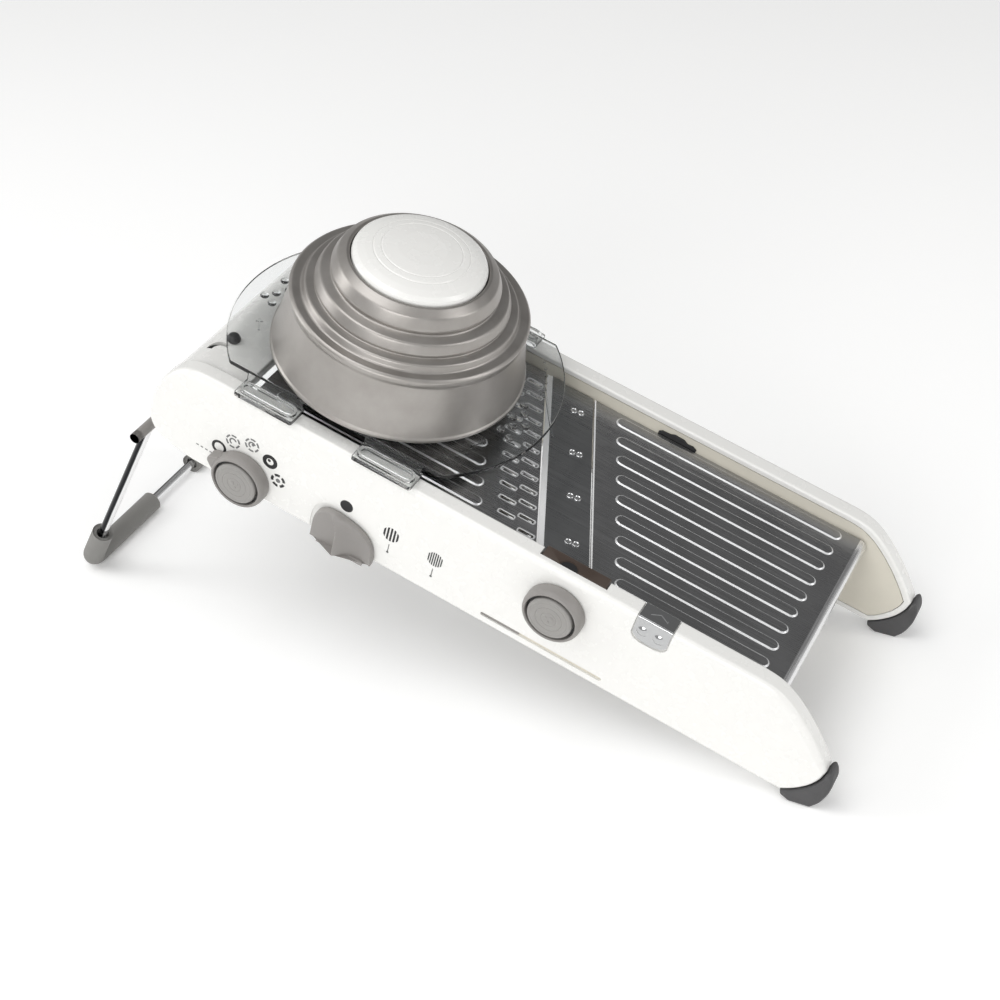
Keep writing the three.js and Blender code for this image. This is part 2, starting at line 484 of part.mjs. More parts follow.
// ---------- stand it up ----------
body.rotation.y = TILT;
const object = new THREE.Group();
object.add(body);
object.updateMatrixWorld(true);
const bounds = new THREE.Box3().setFromObject(object, true);
const centre = bounds.getCenter(new THREE.Vector3());
object.position.set(-centre.x, -centre.y, -bounds.min.z);
object.updateMatrixWorld(true);

// joint anchors and directions, in the finished frame
const at = (x, y, z) => body.localToWorld(V(x, y, z)).toArray();
const dir = (x, y, z) => V(x, y, z).transformDirection(body.matrixWorld).toArray();
object.userData = {
  along: dir(1, 0, 0), square: dir(0, 0, 1), tilt: TILT,
  origin: at(0, 0, 0), rampPivot: at(RAMP_PIVOT[0], 0, RAMP_PIVOT[1]), deckPivot: at(DECK_PIVOT[0], 0, DECK_PIVOT[1]),
  standPivot: at(STAND_PIVOT[0], 0, STAND_PIVOT[1]), thickness: at(THICK_X, -75, THICK_Z), lock: at(LOCK_X, -75, LOCK_Z),
  footFlat: at(374.65, -65, -51.775), min: bounds.min.toArray(), max: bounds.max.toArray(),
};

export default object;
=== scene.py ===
import json
import math
import bpy
import bmesh
import numpy as np
from mathutils import Vector, Matrix
from mathutils.geometry import delaunay_2d_cdt


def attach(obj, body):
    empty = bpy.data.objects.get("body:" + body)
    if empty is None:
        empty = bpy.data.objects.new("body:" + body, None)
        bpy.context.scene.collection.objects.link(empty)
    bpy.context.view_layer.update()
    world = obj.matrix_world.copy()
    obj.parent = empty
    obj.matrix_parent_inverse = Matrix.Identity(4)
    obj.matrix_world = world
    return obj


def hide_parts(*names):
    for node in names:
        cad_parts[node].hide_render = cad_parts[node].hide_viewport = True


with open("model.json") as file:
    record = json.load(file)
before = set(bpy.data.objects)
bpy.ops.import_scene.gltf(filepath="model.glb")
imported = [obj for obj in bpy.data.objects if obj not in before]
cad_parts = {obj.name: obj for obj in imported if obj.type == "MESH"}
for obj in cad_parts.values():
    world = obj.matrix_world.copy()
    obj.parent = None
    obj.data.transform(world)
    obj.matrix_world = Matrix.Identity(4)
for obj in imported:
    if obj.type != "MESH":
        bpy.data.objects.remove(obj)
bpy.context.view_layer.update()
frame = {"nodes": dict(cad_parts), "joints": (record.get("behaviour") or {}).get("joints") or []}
NODES = frame["nodes"]
SCENE = bpy.context.scene

# ---------------------------------------------------------------- frame of the slicer body ("deck" axes, millimetres)
TILT = math.radians(18.54)
CT, ST = math.cos(TILT), math.sin(TILT)
PIV = [j for j in frame["joints"] if j["name"] == "ramp_tilt"][0]["pos_m"]
OX = PIV[0] - (0.034 * CT - 0.0065 * ST)
OY = PIV[1]
OZ = PIV[2] - (-0.034 * ST - 0.0065 * CT)


def W(x, y, z):
    return Vector((OX + (x * CT + z * ST) / 1000, OY + y / 1000, OZ + (-x * ST + z * CT) / 1000))


def D(a, b, g):
    return Vector((a * CT + g * ST, b, -a * ST + g * CT))


# ---------------------------------------------------------------- camera
cam_data = bpy.data.cameras.new("camera")
cam = bpy.data.objects.new("camera", cam_data)
SCENE.collection.objects.link(cam)
SCENE.camera = cam
cam_data.sensor_width = 36
cam_data.lens = 63.6
cam_data.clip_start = 0.02
cam_data.clip_end = 20
right = D(.86165184, .4611111, .21197324).normalized()
down = D(.46897719, -.56384053, -.67981192)
forward = D(-.19394972, .68517181, -.70208483).normalized()
up = right.cross(forward).normalized()
m3 = Matrix((right, up, -forward)).transposed()
cam.matrix_world = Matrix.Translation(W(347.7, -626.3, 602.5)) @ m3.to_4x4()


# ---------------------------------------------------------------- materials
def nodes_of(mat):
    mat.use_nodes = True
    nt = mat.node_tree
    for n in list(nt.nodes):
        nt.nodes.remove(n)
    out = nt.nodes.new("ShaderNodeOutputMaterial")
    bsdf = nt.nodes.new("ShaderNodeBsdfPrincipled")
    nt.links.new(bsdf.outputs[0], out.inputs[0])
    return nt, bsdf


def local_coords(nt):
    tc = nt.nodes.new("ShaderNodeTexCoord")
    mp = nt.nodes.new("ShaderNodeMapping")
    mp.vector_type = "POINT"
    mp.inputs["Rotation"].default_value = (0, -TILT, 0)
    mp.inputs["Location"].default_value = (-(OX * CT - OZ * ST), -OY, -(OX * ST + OZ * CT))
    nt.links.new(tc.outputs["Object"], mp.inputs[0])
    return mp.outputs[0]


def scaled(nt, vec, sc):
    n = nt.nodes.new("ShaderNodeVectorMath")
    n.operation = "MULTIPLY"
    nt.links.new(vec, n.inputs[0])
    n.inputs[1].default_value = sc
    return n.outputs[0]


def noise(nt, vec, scale, detail=3.0, rough=0.55):
    n = nt.nodes.new("ShaderNodeTexNoise")
    n.inputs["Scale"].default_value = scale
    n.inputs["Detail"].default_value = detail
    n.inputs["Roughness"].default_value = rough
    nt.links.new(vec, n.inputs["Vector"])
    return n.outputs["Fac"]


def ramp_map(nt, fac, lo, hi, a=0.3, b=0.7):
    n = nt.nodes.new("ShaderNodeMapRange")
    n.inputs["From Min"].default_value = a
    n.inputs["From Max"].default_value = b
    n.inputs["To Min"].default_value = lo
    n.inputs["To Max"].default_value = hi
    nt.links.new(fac, n.inputs["Value"])
    return n.outputs[0]


def mixed(nt, fac, c0, c1):
    n = nt.nodes.new("ShaderNodeMix")
    n.data_type = "RGBA"
    n.inputs["A"].default_value = (*c0, 1)
    n.inputs["B"].default_value = (*c1, 1)
    for i in n.inputs:
        if i.name == "A" and i.type == "RGBA":
            i.default_value = (*c0, 1)
        if i.name == "B" and i.type == "RGBA":
            i.default_value = (*c1, 1)
    nt.links.new(fac, n.inputs["Factor"])
    return [o for o in n.outputs if o.type == "RGBA"][0]


def bumped(nt, bsdf, height, strength, distance=0.0002, normal=None):
    b = nt.nodes.new("ShaderNodeBump")
    b.inputs["Strength"].default_value = strength
    b.inputs["Distance"].default_value = distance
    nt.links.new(height, b.inputs["Height"])
    if normal is not None:
        nt.links.new(normal, b.inputs["Normal"])
    nt.links.new(b.outputs[0], bsdf.inputs["Normal"])
    return b.outputs[0]


def plastic(name, base, rough=0.4, spread=0.05, vary=0.04, scale=2600.0, strength=0.12, coat=0.0, edge=None, spec=0.5):
    mat = bpy.data.materials.new(name)
    nt, b = nodes_of(mat)
    v = local_coords(nt)
    cloud = noise(nt, v, 38.0, 4.0)
    grain = noise(nt, v, scale, 2.0, 0.6)
    c0 = tuple(max(0.0, c * (1 - vary)) for c in base)
    c1 = tuple(min(1.0, c * (1 + vary)) for c in base)
    col = mixed(nt, ramp_map(nt, cloud, 0, 1), c0, c1)
    if edge is not None:
        geo = nt.nodes.new("ShaderNodeNewGeometry")
        worn = ramp_map(nt, geo.outputs["Pointiness"], 0, 0.55, 0.53, 0.62)
        mx = nt.nodes.new("ShaderNodeMix")
        mx.data_type = "RGBA"
        ins = [i for i in mx.inputs if i.type == "RGBA"]
        nt.links.new(col, ins[0])
        ins[1].default_value = (*edge, 1)
        nt.links.new(worn, mx.inputs["Factor"])
        col = [o for o in mx.outputs if o.type == "RGBA"][0]
    nt.links.new(col, b.inputs["Base Color"])
    nt.links.new(ramp_map(nt, noise(nt, v, 140.0, 3.0), rough - spread, rough + spread), b.inputs["Roughness"])
    b.inputs["Specular IOR Level"].default_value = spec
    if coat:
        b.inputs["Coat Weight"].default_value = coat
        b.inputs["Coat Roughness"].default_value = 0.12
    bumped(nt, b, grain, strength, 0.00012)
    return mat


def steel(name, base, rough=0.3, stretch=(18.0, 2600.0, 2600.0), aniso=0.5, strength=0.25, spread=0.1, vary=0.12, cloud=26.0, wear=0.25):
    mat = bpy.data.materials.new(name)
    nt, b = nodes_of(mat)
    v = local_coords(nt)
    streak = noise(nt, scaled(nt, v, stretch), 1.0, 4.0, 0.65)
    haze = noise(nt, v, cloud, 4.0, 0.6)
    c0 = tuple(c * (1 - vary) for c in base)
    c1 = tuple(min(1.0, c * (1 + vary)) for c in base)
    nt.links.new(mixed(nt, ramp_map(nt, streak, 0, 1, 0.25, 0.75), c0, c1), b.inputs["Base Color"])
    ad = nt.nodes.new("ShaderNodeMath")
    ad.operation = "ADD"
    nt.links.new(ramp_map(nt, streak, rough - spread, rough + spread, 0.25, 0.75), ad.inputs[0])
    nt.links.new(ramp_map(nt, haze, -wear * 0.2, wear * 0.3), ad.inputs[1])
    nt.links.new(ad.outputs[0], b.inputs["Roughness"])
    b.inputs["Metallic"].default_value = 1.0
    b.inputs["Anisotropic"].default_value = aniso
    if aniso:
        tg = nt.nodes.new("ShaderNodeTangent")
        tg.direction_type = "RADIAL"
        tg.axis = "X"
        nt.links.new(tg.outputs[0], b.inputs["Tangent"])
    bumped(nt, b, streak, strength, 0.00006)
    return mat


WHITE = plastic("gloss_white_plastic", (0.83, 0.825, 0.80), 0.27, 0.012, 0.003, 900.0, 0.05, coat=0.25)
# cream tone for the inner liners and the scale strip: partly a warmer plastic, partly painted shade for the inner wall
# faces and the slot
CREAM_AND_SHADE = plastic("warm_white_plastic", (0.70, 0.665, 0.575), 0.42, 0.06, 0.03, 1500.0, 0.10)
INNER = plastic("inner_white_plastic", (0.72, 0.70, 0.64), 0.42, 0.06, 0.02, 1500.0, 0.10)
GREY = plastic("warm_grey_plastic", (0.262, 0.248, 0.236), 0.46, 0.06, 0.03, 3600.0, 0.30, edge=(0.34, 0.325, 0.31))
GREY2 = plastic("warm_grey_insert", (0.285, 0.275, 0.262), 0.40, 0.05, 0.03, 3600.0, 0.25, edge=(0.36, 0.35, 0.335))
RUBBER = plastic("foot_rubber_dark", (0.070, 0.069, 0.071), 0.62, 0.08, 0.10, 2600.0, 0.45, edge=(0.13, 0.13, 0.13))
SLEEVE = plastic("sleeve_rubber_grey", (0.205, 0.200, 0.190), 0.60, 0.07, 0.05, 2600.0, 0.40, edge=(0.27, 0.265, 0.25))
BLACK = plastic("black_plastic", (0.018, 0.018, 0.019), 0.42, 0.08, 0.15, 2200.0, 0.30)
BROWN = plastic("carrier_brown_black", (0.060, 0.043, 0.034), 0.33, 0.07, 0.20, 1800.0, 0.25, edge=(0.20, 0.17, 0.15))
INK = plastic("ink_black", (0.012, 0.012, 0.013), 0.55, 0.05, 0.10, 4200.0, 0.20)
INK2 = plastic("ink_grey", (0.16, 0.16, 0.16), 0.55, 0.05, 0.08, 4200.0, 0.20)
DECK = steel("brushed_deck_steel", (0.36, 0.36, 0.365), 0.27, aniso=0.4)
RAMPM = steel("brushed_ramp_steel", (0.40, 0.40, 0.405), 0.27, aniso=0.4)
BLADE = steel("blade_steel", (0.30, 0.305, 0.31), 0.30, (14.0, 3200.0, 3200.0), 0.35)
# near-white, partly non-metal steel for the blade bevel and the strip by the blade: a ground finish brightened into a
# painted highlight
GROUND_AND_HIGHLIGHT = steel("ground_bevel_steel", (0.93, 0.93, 0.93), 0.34, (3600.0, 20.0, 3600.0), 0.0, 0.10, 0.05, 0.04)
GROUND_AND_HIGHLIGHT.node_tree.nodes["Principled BSDF"].inputs["Metallic"].default_value = 0.30
# brighter, half-metal copy of the ramp and deck steel for sloped flanks: a painted highlight in place of the light
# caught along ridge and slot edges
FLANK_HIGHLIGHT = steel("formed_ridge_edge", (0.78, 0.785, 0.79), 0.33, (24.0, 2200.0, 2200.0), 0.0, 0.10, 0.05, 0.05)
FLANK_HIGHLIGHT.node_tree.nodes["Principled BSDF"].inputs["Metallic"].default_value = 0.5
BRIGHT = steel("bright_steel", (0.70, 0.705, 0.71), 0.15, (900.0, 900.0, 900.0), 0.0, 0.08, 0.05, 0.06)
CHROME = steel("chrome", (0.80, 0.80, 0.805), 0.05, (60.0, 2400.0, 60.0), 0.0, 0.02, 0.02, 0.02, wear=0.1)


def chrome_wire():
    mat = bpy.data.materials.new("chrome_wire_polished")
    nt, b = nodes_of(mat)
    v = local_coords(nt)
    # painted reflection: the base colour goes dark on the side whose normal faces (-0.86, -0.50, 0.05) and stays bright
    # chrome on the other side, with a noisy border
    geo = nt.nodes.new("ShaderNodeNewGeometry")
    d = nt.nodes.new("ShaderNodeVectorMath")
    d.operation = "DOT_PRODUCT"
    nt.links.new(geo.outputs["Normal"], d.inputs[0])
    d.inputs[1].default_value = Vector((-0.86, -0.50, 0.05)).normalized()
    painted_reflection_side = nt.nodes.new("ShaderNodeMath")
    painted_reflection_side.operation = "ADD"
    nt.links.new(d.outputs["Value"], painted_reflection_side.inputs[0])
    nt.links.new(ramp_map(nt, noise(nt, v, 30.0, 2.0), -0.05, 0.05), painted_reflection_side.inputs[1])
    nt.links.new(mixed(nt, ramp_map(nt, painted_reflection_side.outputs[0], 0, 1, -0.02, 0.16), (0.86, 0.86, 0.865), (0.018, 0.018, 0.02)), b.inputs["Base Color"])
    b.inputs["Metallic"].default_value = 0.9
    b.inputs["Specular IOR Level"].default_value = 0.3
    nt.links.new(ramp_map(nt, noise(nt, v, 400.0, 3.0), 0.05, 0.11), b.inputs["Roughness"])
    return mat


WIRE_PAINTED_REFLECTION = chrome_wire()
TABM = steel("tab_chrome", (0.50, 0.505, 0.51), 0.10, (60.0, 1800.0, 60.0), 0.0, 0.06, 0.03, 0.05, wear=0.2)
ZINC = steel("zinc_plate", (0.52, 0.525, 0.53), 0.34, (400.0, 400.0, 400.0), 0.0, 0.25, 0.08, 0.10)


def bell_material():
    mat = bpy.data.materials.new("satin_warm_metal")
    nt, b = nodes_of(mat)
    v = local_coords(nt)
    off = nt.nodes.new("ShaderNodeVectorMath")
    off.operation = "SUBTRACT"
    nt.links.new(v, off.inputs[0])
    off.inputs[1].default_value = (0.0971, 0, 0)
    sep = nt.nodes.new("ShaderNodeSeparateXYZ")
    nt.links.new(off.outputs[0], sep.inputs[0])
    flat = nt.nodes.new("ShaderNodeCombineXYZ")
    nt.links.new(sep.outputs[0], flat.inputs[0])
    nt.links.new(sep.outputs[1], flat.inputs[1])
    rad = nt.nodes.new("ShaderNodeVectorMath")
    rad.operation = "LENGTH"
    nt.links.new(flat.outputs[0], rad.inputs[0])
    ring = nt.nodes.new("ShaderNodeCombineXYZ")
    nt.links.new(rad.outputs["Value"], ring.inputs[0])
    nt.links.new(sep.outputs[2], ring.inputs[1])
    spun = noise(nt, ring.outputs[0], 3400.0, 3.0, 0.6)
    mott = noise(nt, v, 55.0, 5.0, 0.62)
    nt.links.new(mixed(nt, ramp_map(nt, mott, 0, 1, 0.3, 0.7), (0.345, 0.325, 0.305), (0.41, 0.39, 0.37)), b.inputs["Base Color"])
    ad = nt.nodes.new("ShaderNodeMath")
    ad.operation = "ADD"
    nt.links.new(ramp_map(nt, spun, 0.33, 0.41, 0.3, 0.7), ad.inputs[0])
    nt.links.new(ramp_map(nt, mott, -0.03, 0.05), ad.inputs[1])
    nt.links.new(ad.outputs[0], b.inputs["Roughness"])
    b.inputs["Metallic"].default_value = 0.82
    first = bumped(nt, b, spun, 0.18, 0.00005)
    bumped(nt, b, noise(nt, v, 2400.0, 2.0), 0.10, 0.00006, first)
    return mat


BELL = bell_material()


def clear_material(name, tint, rough):
    mat = bpy.data.materials.new(name)
    nt, b = nodes_of(mat)
    v = local_coords(nt)
    b.inputs["Base Color"].default_value = (*tint, 1)
    nt.links.new(ramp_map(nt, noise(nt, v, 60.0, 4.0), rough * 0.6, rough * 1.5), b.inputs["Roughness"])
    b.inputs["IOR"].default_value = 1.46
    b.inputs["Transmission Weight"].default_value = 1.0
    bumped(nt, b, noise(nt, v, 160.0, 2.0), 0.10, 0.0001)
    return mat


CLEAR = clear_material("clear_polycarbonate", (0.955, 0.965, 0.965), 0.035)


# ---------------------------------------------------------------- mesh helpers (all input in deck millimetres)
def make(name, verts, faces, mats, angle=32.0, index=None, weighted=True):
    v = np.asarray(verts, float) / 1000.0
    w = np.stack([OX + v[:, 0] * CT + v[:, 2] * ST, OY + v[:, 1], OZ - v[:, 0] * ST + v[:, 2] * CT], 1)
    me = bpy.data.meshes.new(name)
    me.from_pydata(w.tolist(), [], [tuple(int(i) for i in f) for f in faces])
    if not isinstance(mats, (list, tuple)):
        mats = [mats]
    for mt in mats:
        me.materials.append(mt)
    if index is not None:
        me.polygons.foreach_set("material_index", index)
    bm = bmesh.new()
    bm.from_mesh(me)
    bmesh.ops.remove_doubles(bm, verts=bm.verts, dist=2e-7)
    bmesh.ops.recalc_face_normals(bm, faces=bm.faces)
    bm.to_mesh(me)
    bm.free()
    o = bpy.data.objects.new(name, me)
    SCENE.collection.objects.link(o)
    shade(o, angle, weighted)
    return o


def shade(o, angle=32.0, weighted=True):
    o.data.shade_smooth()
    o.data.set_sharp_from_angle(angle=math.radians(angle))
    if weighted and not any(m.type == "WEIGHTED_NORMAL" for m in o.modifiers):
        md = o.modifiers.new("weighted", "WEIGHTED_NORMAL")
        md.keep_sharp = True
        md.weight = 60


def piece(o, body, slot, *gone):
    if gone:
        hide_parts(*gone)
    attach(o, body)
    return o


def boolean(o, cutters, op="DIFFERENCE"):
    for c in cutters:
        md = o.modifiers.new("b", "BOOLEAN")
        md.operation = op
        md.solver = "EXACT"
        md.object = c
        bpy.context.view_layer.update()
        dg = bpy.context.evaluated_depsgraph_get()
        new = bpy.data.meshes.new_from_object(o.evaluated_get(dg))
        o.modifiers.remove(md)
        old = o.data
        o.data = new
        new.name = old.name
        bpy.data.meshes.remove(old)
        old_c = c.data
        bpy.data.objects.remove(c)
        bpy.data.meshes.remove(old_c)
    bm = bmesh.new()
    bm.from_mesh(o.data)
    bmesh.ops.remove_doubles(bm, verts=bm.verts, dist=1e-6)
    bmesh.ops.dissolve_degenerate(bm, edges=bm.edges, dist=1e-6)
    bm.to_mesh(o.data)
    bm.free()
    return o


def round_poly(pts, r=60.0, n=4, closed=True):
    out = []
    m = len(pts)
    rr = r if isinstance(r, (list, tuple)) else [r] * m
    for i, p in enumerate(pts):
        if not closed and i in (0, m - 1):
            out.append(tuple(p))
            continue
        a, b = pts[i - 1], pts[(i + 1) % m]
        u = np.array(a, float) - np.array(p, float)
        v = np.array(b, float) - np.array(p, float)
        lu, lv = np.linalg.norm(u), np.linalg.norm(v)
        u, v = u / lu, v / lv
        ca = float(np.clip(np.dot(u, v), -1, 1))
        half = math.acos(ca) / 2
        t = min(rr[i] / max(math.tan(half), 1e-6), 0.48 * min(lu, lv))
        s0 = np.array(p) + u * t
        s1 = np.array(p) + v * t
        for k in range(n + 1):
            f = k / n
            q = (1 - f) ** 2 * s0 + 2 * f * (1 - f) * np.array(p) + f * f * s1
            out.append(tuple(q))
    return out


def offset(pts, d):
    """moves a closed outline inwards by d (a number, or one for each point)"""
    p = np.array(pts, float)
    n = len(p)
    dd = np.full(n, d, float) if np.isscalar(d) else np.array(d, float)
    area = 0.5 * np.sum(p[:, 0] * np.roll(p[:, 1], -1) - np.roll(p[:, 0], -1) * p[:, 1])
    s = 1 if area > 0 else -1
    a, b = np.roll(p, 1, 0), np.roll(p, -1, 0)
    u, v = p - a, b - p
    u /= np.linalg.norm(u, axis=1)[:, None]
    v /= np.linalg.norm(v, axis=1)[:, None]
    nu = np.stack([-u[:, 1], u[:, 0]], 1) * s
    nv = np.stack([-v[:, 1], v[:, 0]], 1) * s
    mm = nu + nv
    q = np.maximum(np.sum(mm * mm, 1), 0.4)
    return [tuple(x) for x in p + 2 * dd[:, None] * mm / q[:, None]]


def rings_mesh(rings, cap0=True, cap1=True, closed=False):
    n = len(rings[0])
    verts = [p for r in rings for p in r]
    faces = []
    m = len(rings)
    for j in range(m if closed else m - 1):
        k = (j + 1) % m
        for i in range(n):
            i2 = (i + 1) % n
            faces.append((j * n + i, j * n + i2, k * n + i2, k * n + i))
    if not closed:
        if cap0:
            faces.append(tuple(range(n))[::-1])
        if cap1:
            faces.append(tuple((m - 1) * n + i for i in range(n)))
    return verts, faces


def prism(outline, y0, y1, r0=0.0, r1=0.0, plane="xz", steps=4):
    """solid of an outline with rounded edges; plane xz runs along y, plane xy runs along z"""
    rings = []

    def ring(d, y):
        pts = offset(outline, d) if d > 1e-6 else list(outline)
        return [((p[0], y, p[1]) if plane == "xz" else (p[0], p[1], y)) for p in pts]

    if r0 > 0:
        for k in range(steps + 1):
            a = math.pi / 2 * k / steps
            rings.append(ring(r0 * (1 - math.sin(a)), y0 + r0 * (1 - math.cos(a))))
    else:
        rings.append(ring(0, y0))
    if r1 > 0:
        for k in range(steps + 1):
            a = math.pi / 2 * k / steps
            rings.append(ring(r1 * (1 - math.cos(a)), y1 - r1 * (1 - math.sin(a))))
    else:
        rings.append(ring(0, y1))
    return rings_mesh(rings)


def cut_xz(outline, y0, y1):
    v, f = prism(outline, y0, y1)
    return make("cutter", v, f, [], weighted=False)


def cut_box(x0, x1, y0, y1, z0, z1):
    return cut_xz([(x0, z0), (x1, z0), (x1, z1), (x0, z1)], y0, y1)


def circle(cx, cy, r, n=32, a0=0.0):
    return [(cx + r * math.cos(a0 + 2 * math.pi * k / n), cy + r * math.sin(a0 + 2 * math.pi * k / n)) for k in range(n)]


def capsule(x0, x1, y, r, n=8):
    out = []
    for k in range(n + 1):
        a = -math.pi / 2 + math.pi * k / n
        out.append((x1 - r + r * math.cos(a), y + r * math.sin(a)))
    for k in range(n + 1):
        a = math.pi / 2 + math.pi * k / n
        out.append((x0 + r + r * math.cos(a), y + r * math.sin(a)))
    return out


def lathe(profile, cx, cy, n=96, axis="z"):
    """profile of (radius, height); runs from axis to axis, or closes on itself"""
    ends = profile[0][0] < 1e-9 and profile[-1][0] < 1e-9
    verts, faces = [], []

    def at(r, h, a):
        if axis == "z":
            return (cx + r * math.cos(a), cy + r * math.sin(a), h)
        return (cx + r * math.cos(a), h, cy + r * math.sin(a))

    body = profile[1:-1] if ends else profile
    for r, h in body:
        for k in range(n):
            verts.append(at(r, h, 2 * math.pi * k / n))
    m = len(body)
    for j in range(m - 1 if ends else m):
        j2 = (j + 1) % m
        for k in range(n):
            k2 = (k + 1) % n
            faces.append((j * n + k, j * n + k2, j2 * n + k2, j2 * n + k))
    if ends:
        a = len(verts)
        verts.append(at(0, profile[0][1], 0))
        b = len(verts)
        verts.append(at(0, profile[-1][1], 0))
        for k in range(n):
            k2 = (k + 1) % n
            faces.append((a, k2, k))
            faces.append((b, (m - 1) * n + k, (m - 1) * n + k2))
    return verts, faces


def smooth_profile(profile, r=1.2, n=3):
    return round_poly(profile, r, n, closed=not (profile[0][0] < 1e-9 and profile[-1][0] < 1e-9))


def join(parts):
    verts, faces = [], []
    for v, f in parts:
        o = len(verts)
        verts += list(v)
        faces += [tuple(i + o for i in t) for t in f]
    return verts, faces


def inside(poly, x, y):
    p = np.array(poly, float)
    q = np.roll(p, -1, 0)
    res = np.zeros(len(x), bool)
    for (x0, y0), (x1, y1) in zip(p, q):
        hit = ((y0 > y) != (y1 > y))
        if not hit.any() or y0 == y1:
            continue
        xi = (x1 - x0) * (y - y0) / (y1 - y0) + x0
        res ^= hit & (x < xi)
    return res


def plate(outline, holes, contours, top, bottom, points=(), mapping=None):
    """a sheet with raised or sunk contours: contours are (loop, height above top); mapping turns (x, y, h) into a place"""
    pts, edges, hs = [], [], []

    def loop(lp, h):
        o = len(pts)
        for p in lp:
            pts.append(Vector((p[0], p[1])))
            hs.append(h)
        for i in range(len(lp)):
            edges.append((o + i, o + (i + 1) % len(lp)))

    loop(outline, 0.0)
    for hole in holes:
        loop(hole, 0.0)
    for lp, h in contours:
        loop(lp, h)
    for (x, y, h) in points:
        pts.append(Vector((x, y)))
        hs.append(h)
    vs, es, fs, ov, oe, of_ = delaunay_2d_cdt(pts, edges, [], 0, 1e-5)
    P = np.array([(v[0], v[1]) for v in vs])
    H = np.array([hs[o[0]] if o else 0.0 for o in ov])
    T = np.array([tuple(f) for f in fs])
    cen = P[T].mean(1)
    keep = inside(outline, cen[:, 0], cen[:, 1])
    for hole in holes:
        keep &= ~inside(hole, cen[:, 0], cen[:, 1])
    T = T[keep]
    a, b, c = P[T[:, 0]], P[T[:, 1]], P[T[:, 2]]
    area = (b[:, 0] - a[:, 0]) * (c[:, 1] - a[:, 1]) - (b[:, 1] - a[:, 1]) * (c[:, 0] - a[:, 0])
    T = T[np.abs(area) > 1e-7]
    area = area[np.abs(area) > 1e-7]
    T[area < 0] = T[area < 0][:, ::-1]
    used = np.unique(T)
    remap = -np.ones(len(P), int)
    remap[used] = np.arange(len(used))
    T = remap[T]
    P, H = P[used], H[used]
    n = len(P)
    count = {}
    for t in T:
        for i in range(3):
            e = (int(t[i]), int(t[(i + 1) % 3]))
            count[e] = count.get(e, 0) + 1
    verts = []
    for (x, y), h in zip(P, H):
        verts.append(mapping(x, y, top + h, True) if mapping else (x, y, top + h))
    for (x, y), h in zip(P, H):
        verts.append(mapping(x, y, bottom, False) if mapping else (x, y, bottom))
    faces = [tuple(t) for t in T] + [tuple(i + n for i in t[::-1]) for t in T]
    for (i, j) in count:
        if (j, i) not in count:
            faces.append((j, i, i + n, j + n))
    return verts, faces


def mound(loop_fn, width, height, steps=4, foot=0.5):
    """nested contours of a smooth raised pad; loop_fn(d) gives the outline moved inwards by d"""
    out = [(loop_fn(-foot), 0.0)]
    for k in range(steps + 1):
        f = k / steps
        out.append((loop_fn(width * f), height * (0.5 - 0.5 * math.cos(math.pi * f))))
    return out


def flank(o, slot, z0, z1, test=None):
    """faces whose centre lies between two heights take another of the object's materials; used to put the painted
    highlight material on sloped ridge and slot-rim faces
    """
    n = len(o.data.polygons)
    c = np.empty(n * 3)
    o.data.polygons.foreach_get("center", c)
    c = c.reshape(-1, 3)
    idx = np.zeros(n, int)
    o.data.polygons.foreach_get("material_index", idx)
    lx = ((c[:, 0] - OX) * CT - (c[:, 2] - OZ) * ST) * 1000
    ly = (c[:, 1] - OY) * 1000
    lz = ((c[:, 0] - OX) * ST + (c[:, 2] - OZ) * CT) * 1000
    nr = np.empty(n * 3)
    o.data.polygons.foreach_get("normal", nr)
    nr = nr.reshape(-1, 3)
    up = nr[:, 0] * ST + nr[:, 2] * CT
    hit = (lz > z0) & (lz < z1) & (up < 0.985) & (up > 0.2)
    if test:
        hit &= test(lx, ly)
    idx[hit] = slot
    o.data.polygons.foreach_set("material_index", idx)


def tube(points, radius, sides=24, cap=0.0):
    """tube along local points; cap rounds its ends"""
    P = [np.array(p, float) for p in points]
    n = len(P)
    tang = []
    for i in range(n):
        a, b = P[max(0, i - 1)], P[min(n - 1, i + 1)]
        t = b - a
        tang.append(t / np.linalg.norm(t))
    nrm = np.array([0, 0, 1.0]) if abs(tang[0][2]) < 0.9 else np.array([1.0, 0, 0])
    nrm = nrm - tang[0] * np.dot(nrm, tang[0])
    nrm /= np.linalg.norm(nrm)
    frames = []
    for i in range(n):
        nrm = nrm - tang[i] * np.dot(nrm, tang[i])
        nrm /= np.linalg.norm(nrm)
        frames.append((P[i], tang[i], nrm, np.cross(tang[i], nrm)))
    rings = []

    def ring(c, u, w, r):
        return [tuple(c + r * (math.cos(2 * math.pi * k / sides) * u + math.sin(2 * math.pi * k / sides) * w)) for k in range(sides)]

    c, t, u, w = frames[0]
    if cap:
        for k in range(5):
            a = math.pi / 2 * k / 5
            rings.append(ring(c + t * cap * (1 - math.sin(a)), u, w, radius - cap * (1 - math.sin(math.pi / 2 * (k + 1) / 5)) if False else radius - cap + cap * math.sin(a)))
        frames_mid = frames
    for i, (c, t, u, w) in enumerate(frames):
        if cap and i in (0, n - 1):
            continue
        rings.append(ring(c, u, w, radius))
    c, t, u, w = frames[-1]
    if cap:
        for k in range(5):
            a = math.pi / 2 * (5 - k - 1) / 5 if False else math.pi / 2 * (4 - k) / 5
            rings.append(ring(c - t * cap * (1 - math.sin(a)), u, w, radius - cap + cap * math.sin(a)))
    return rings_mesh(rings)


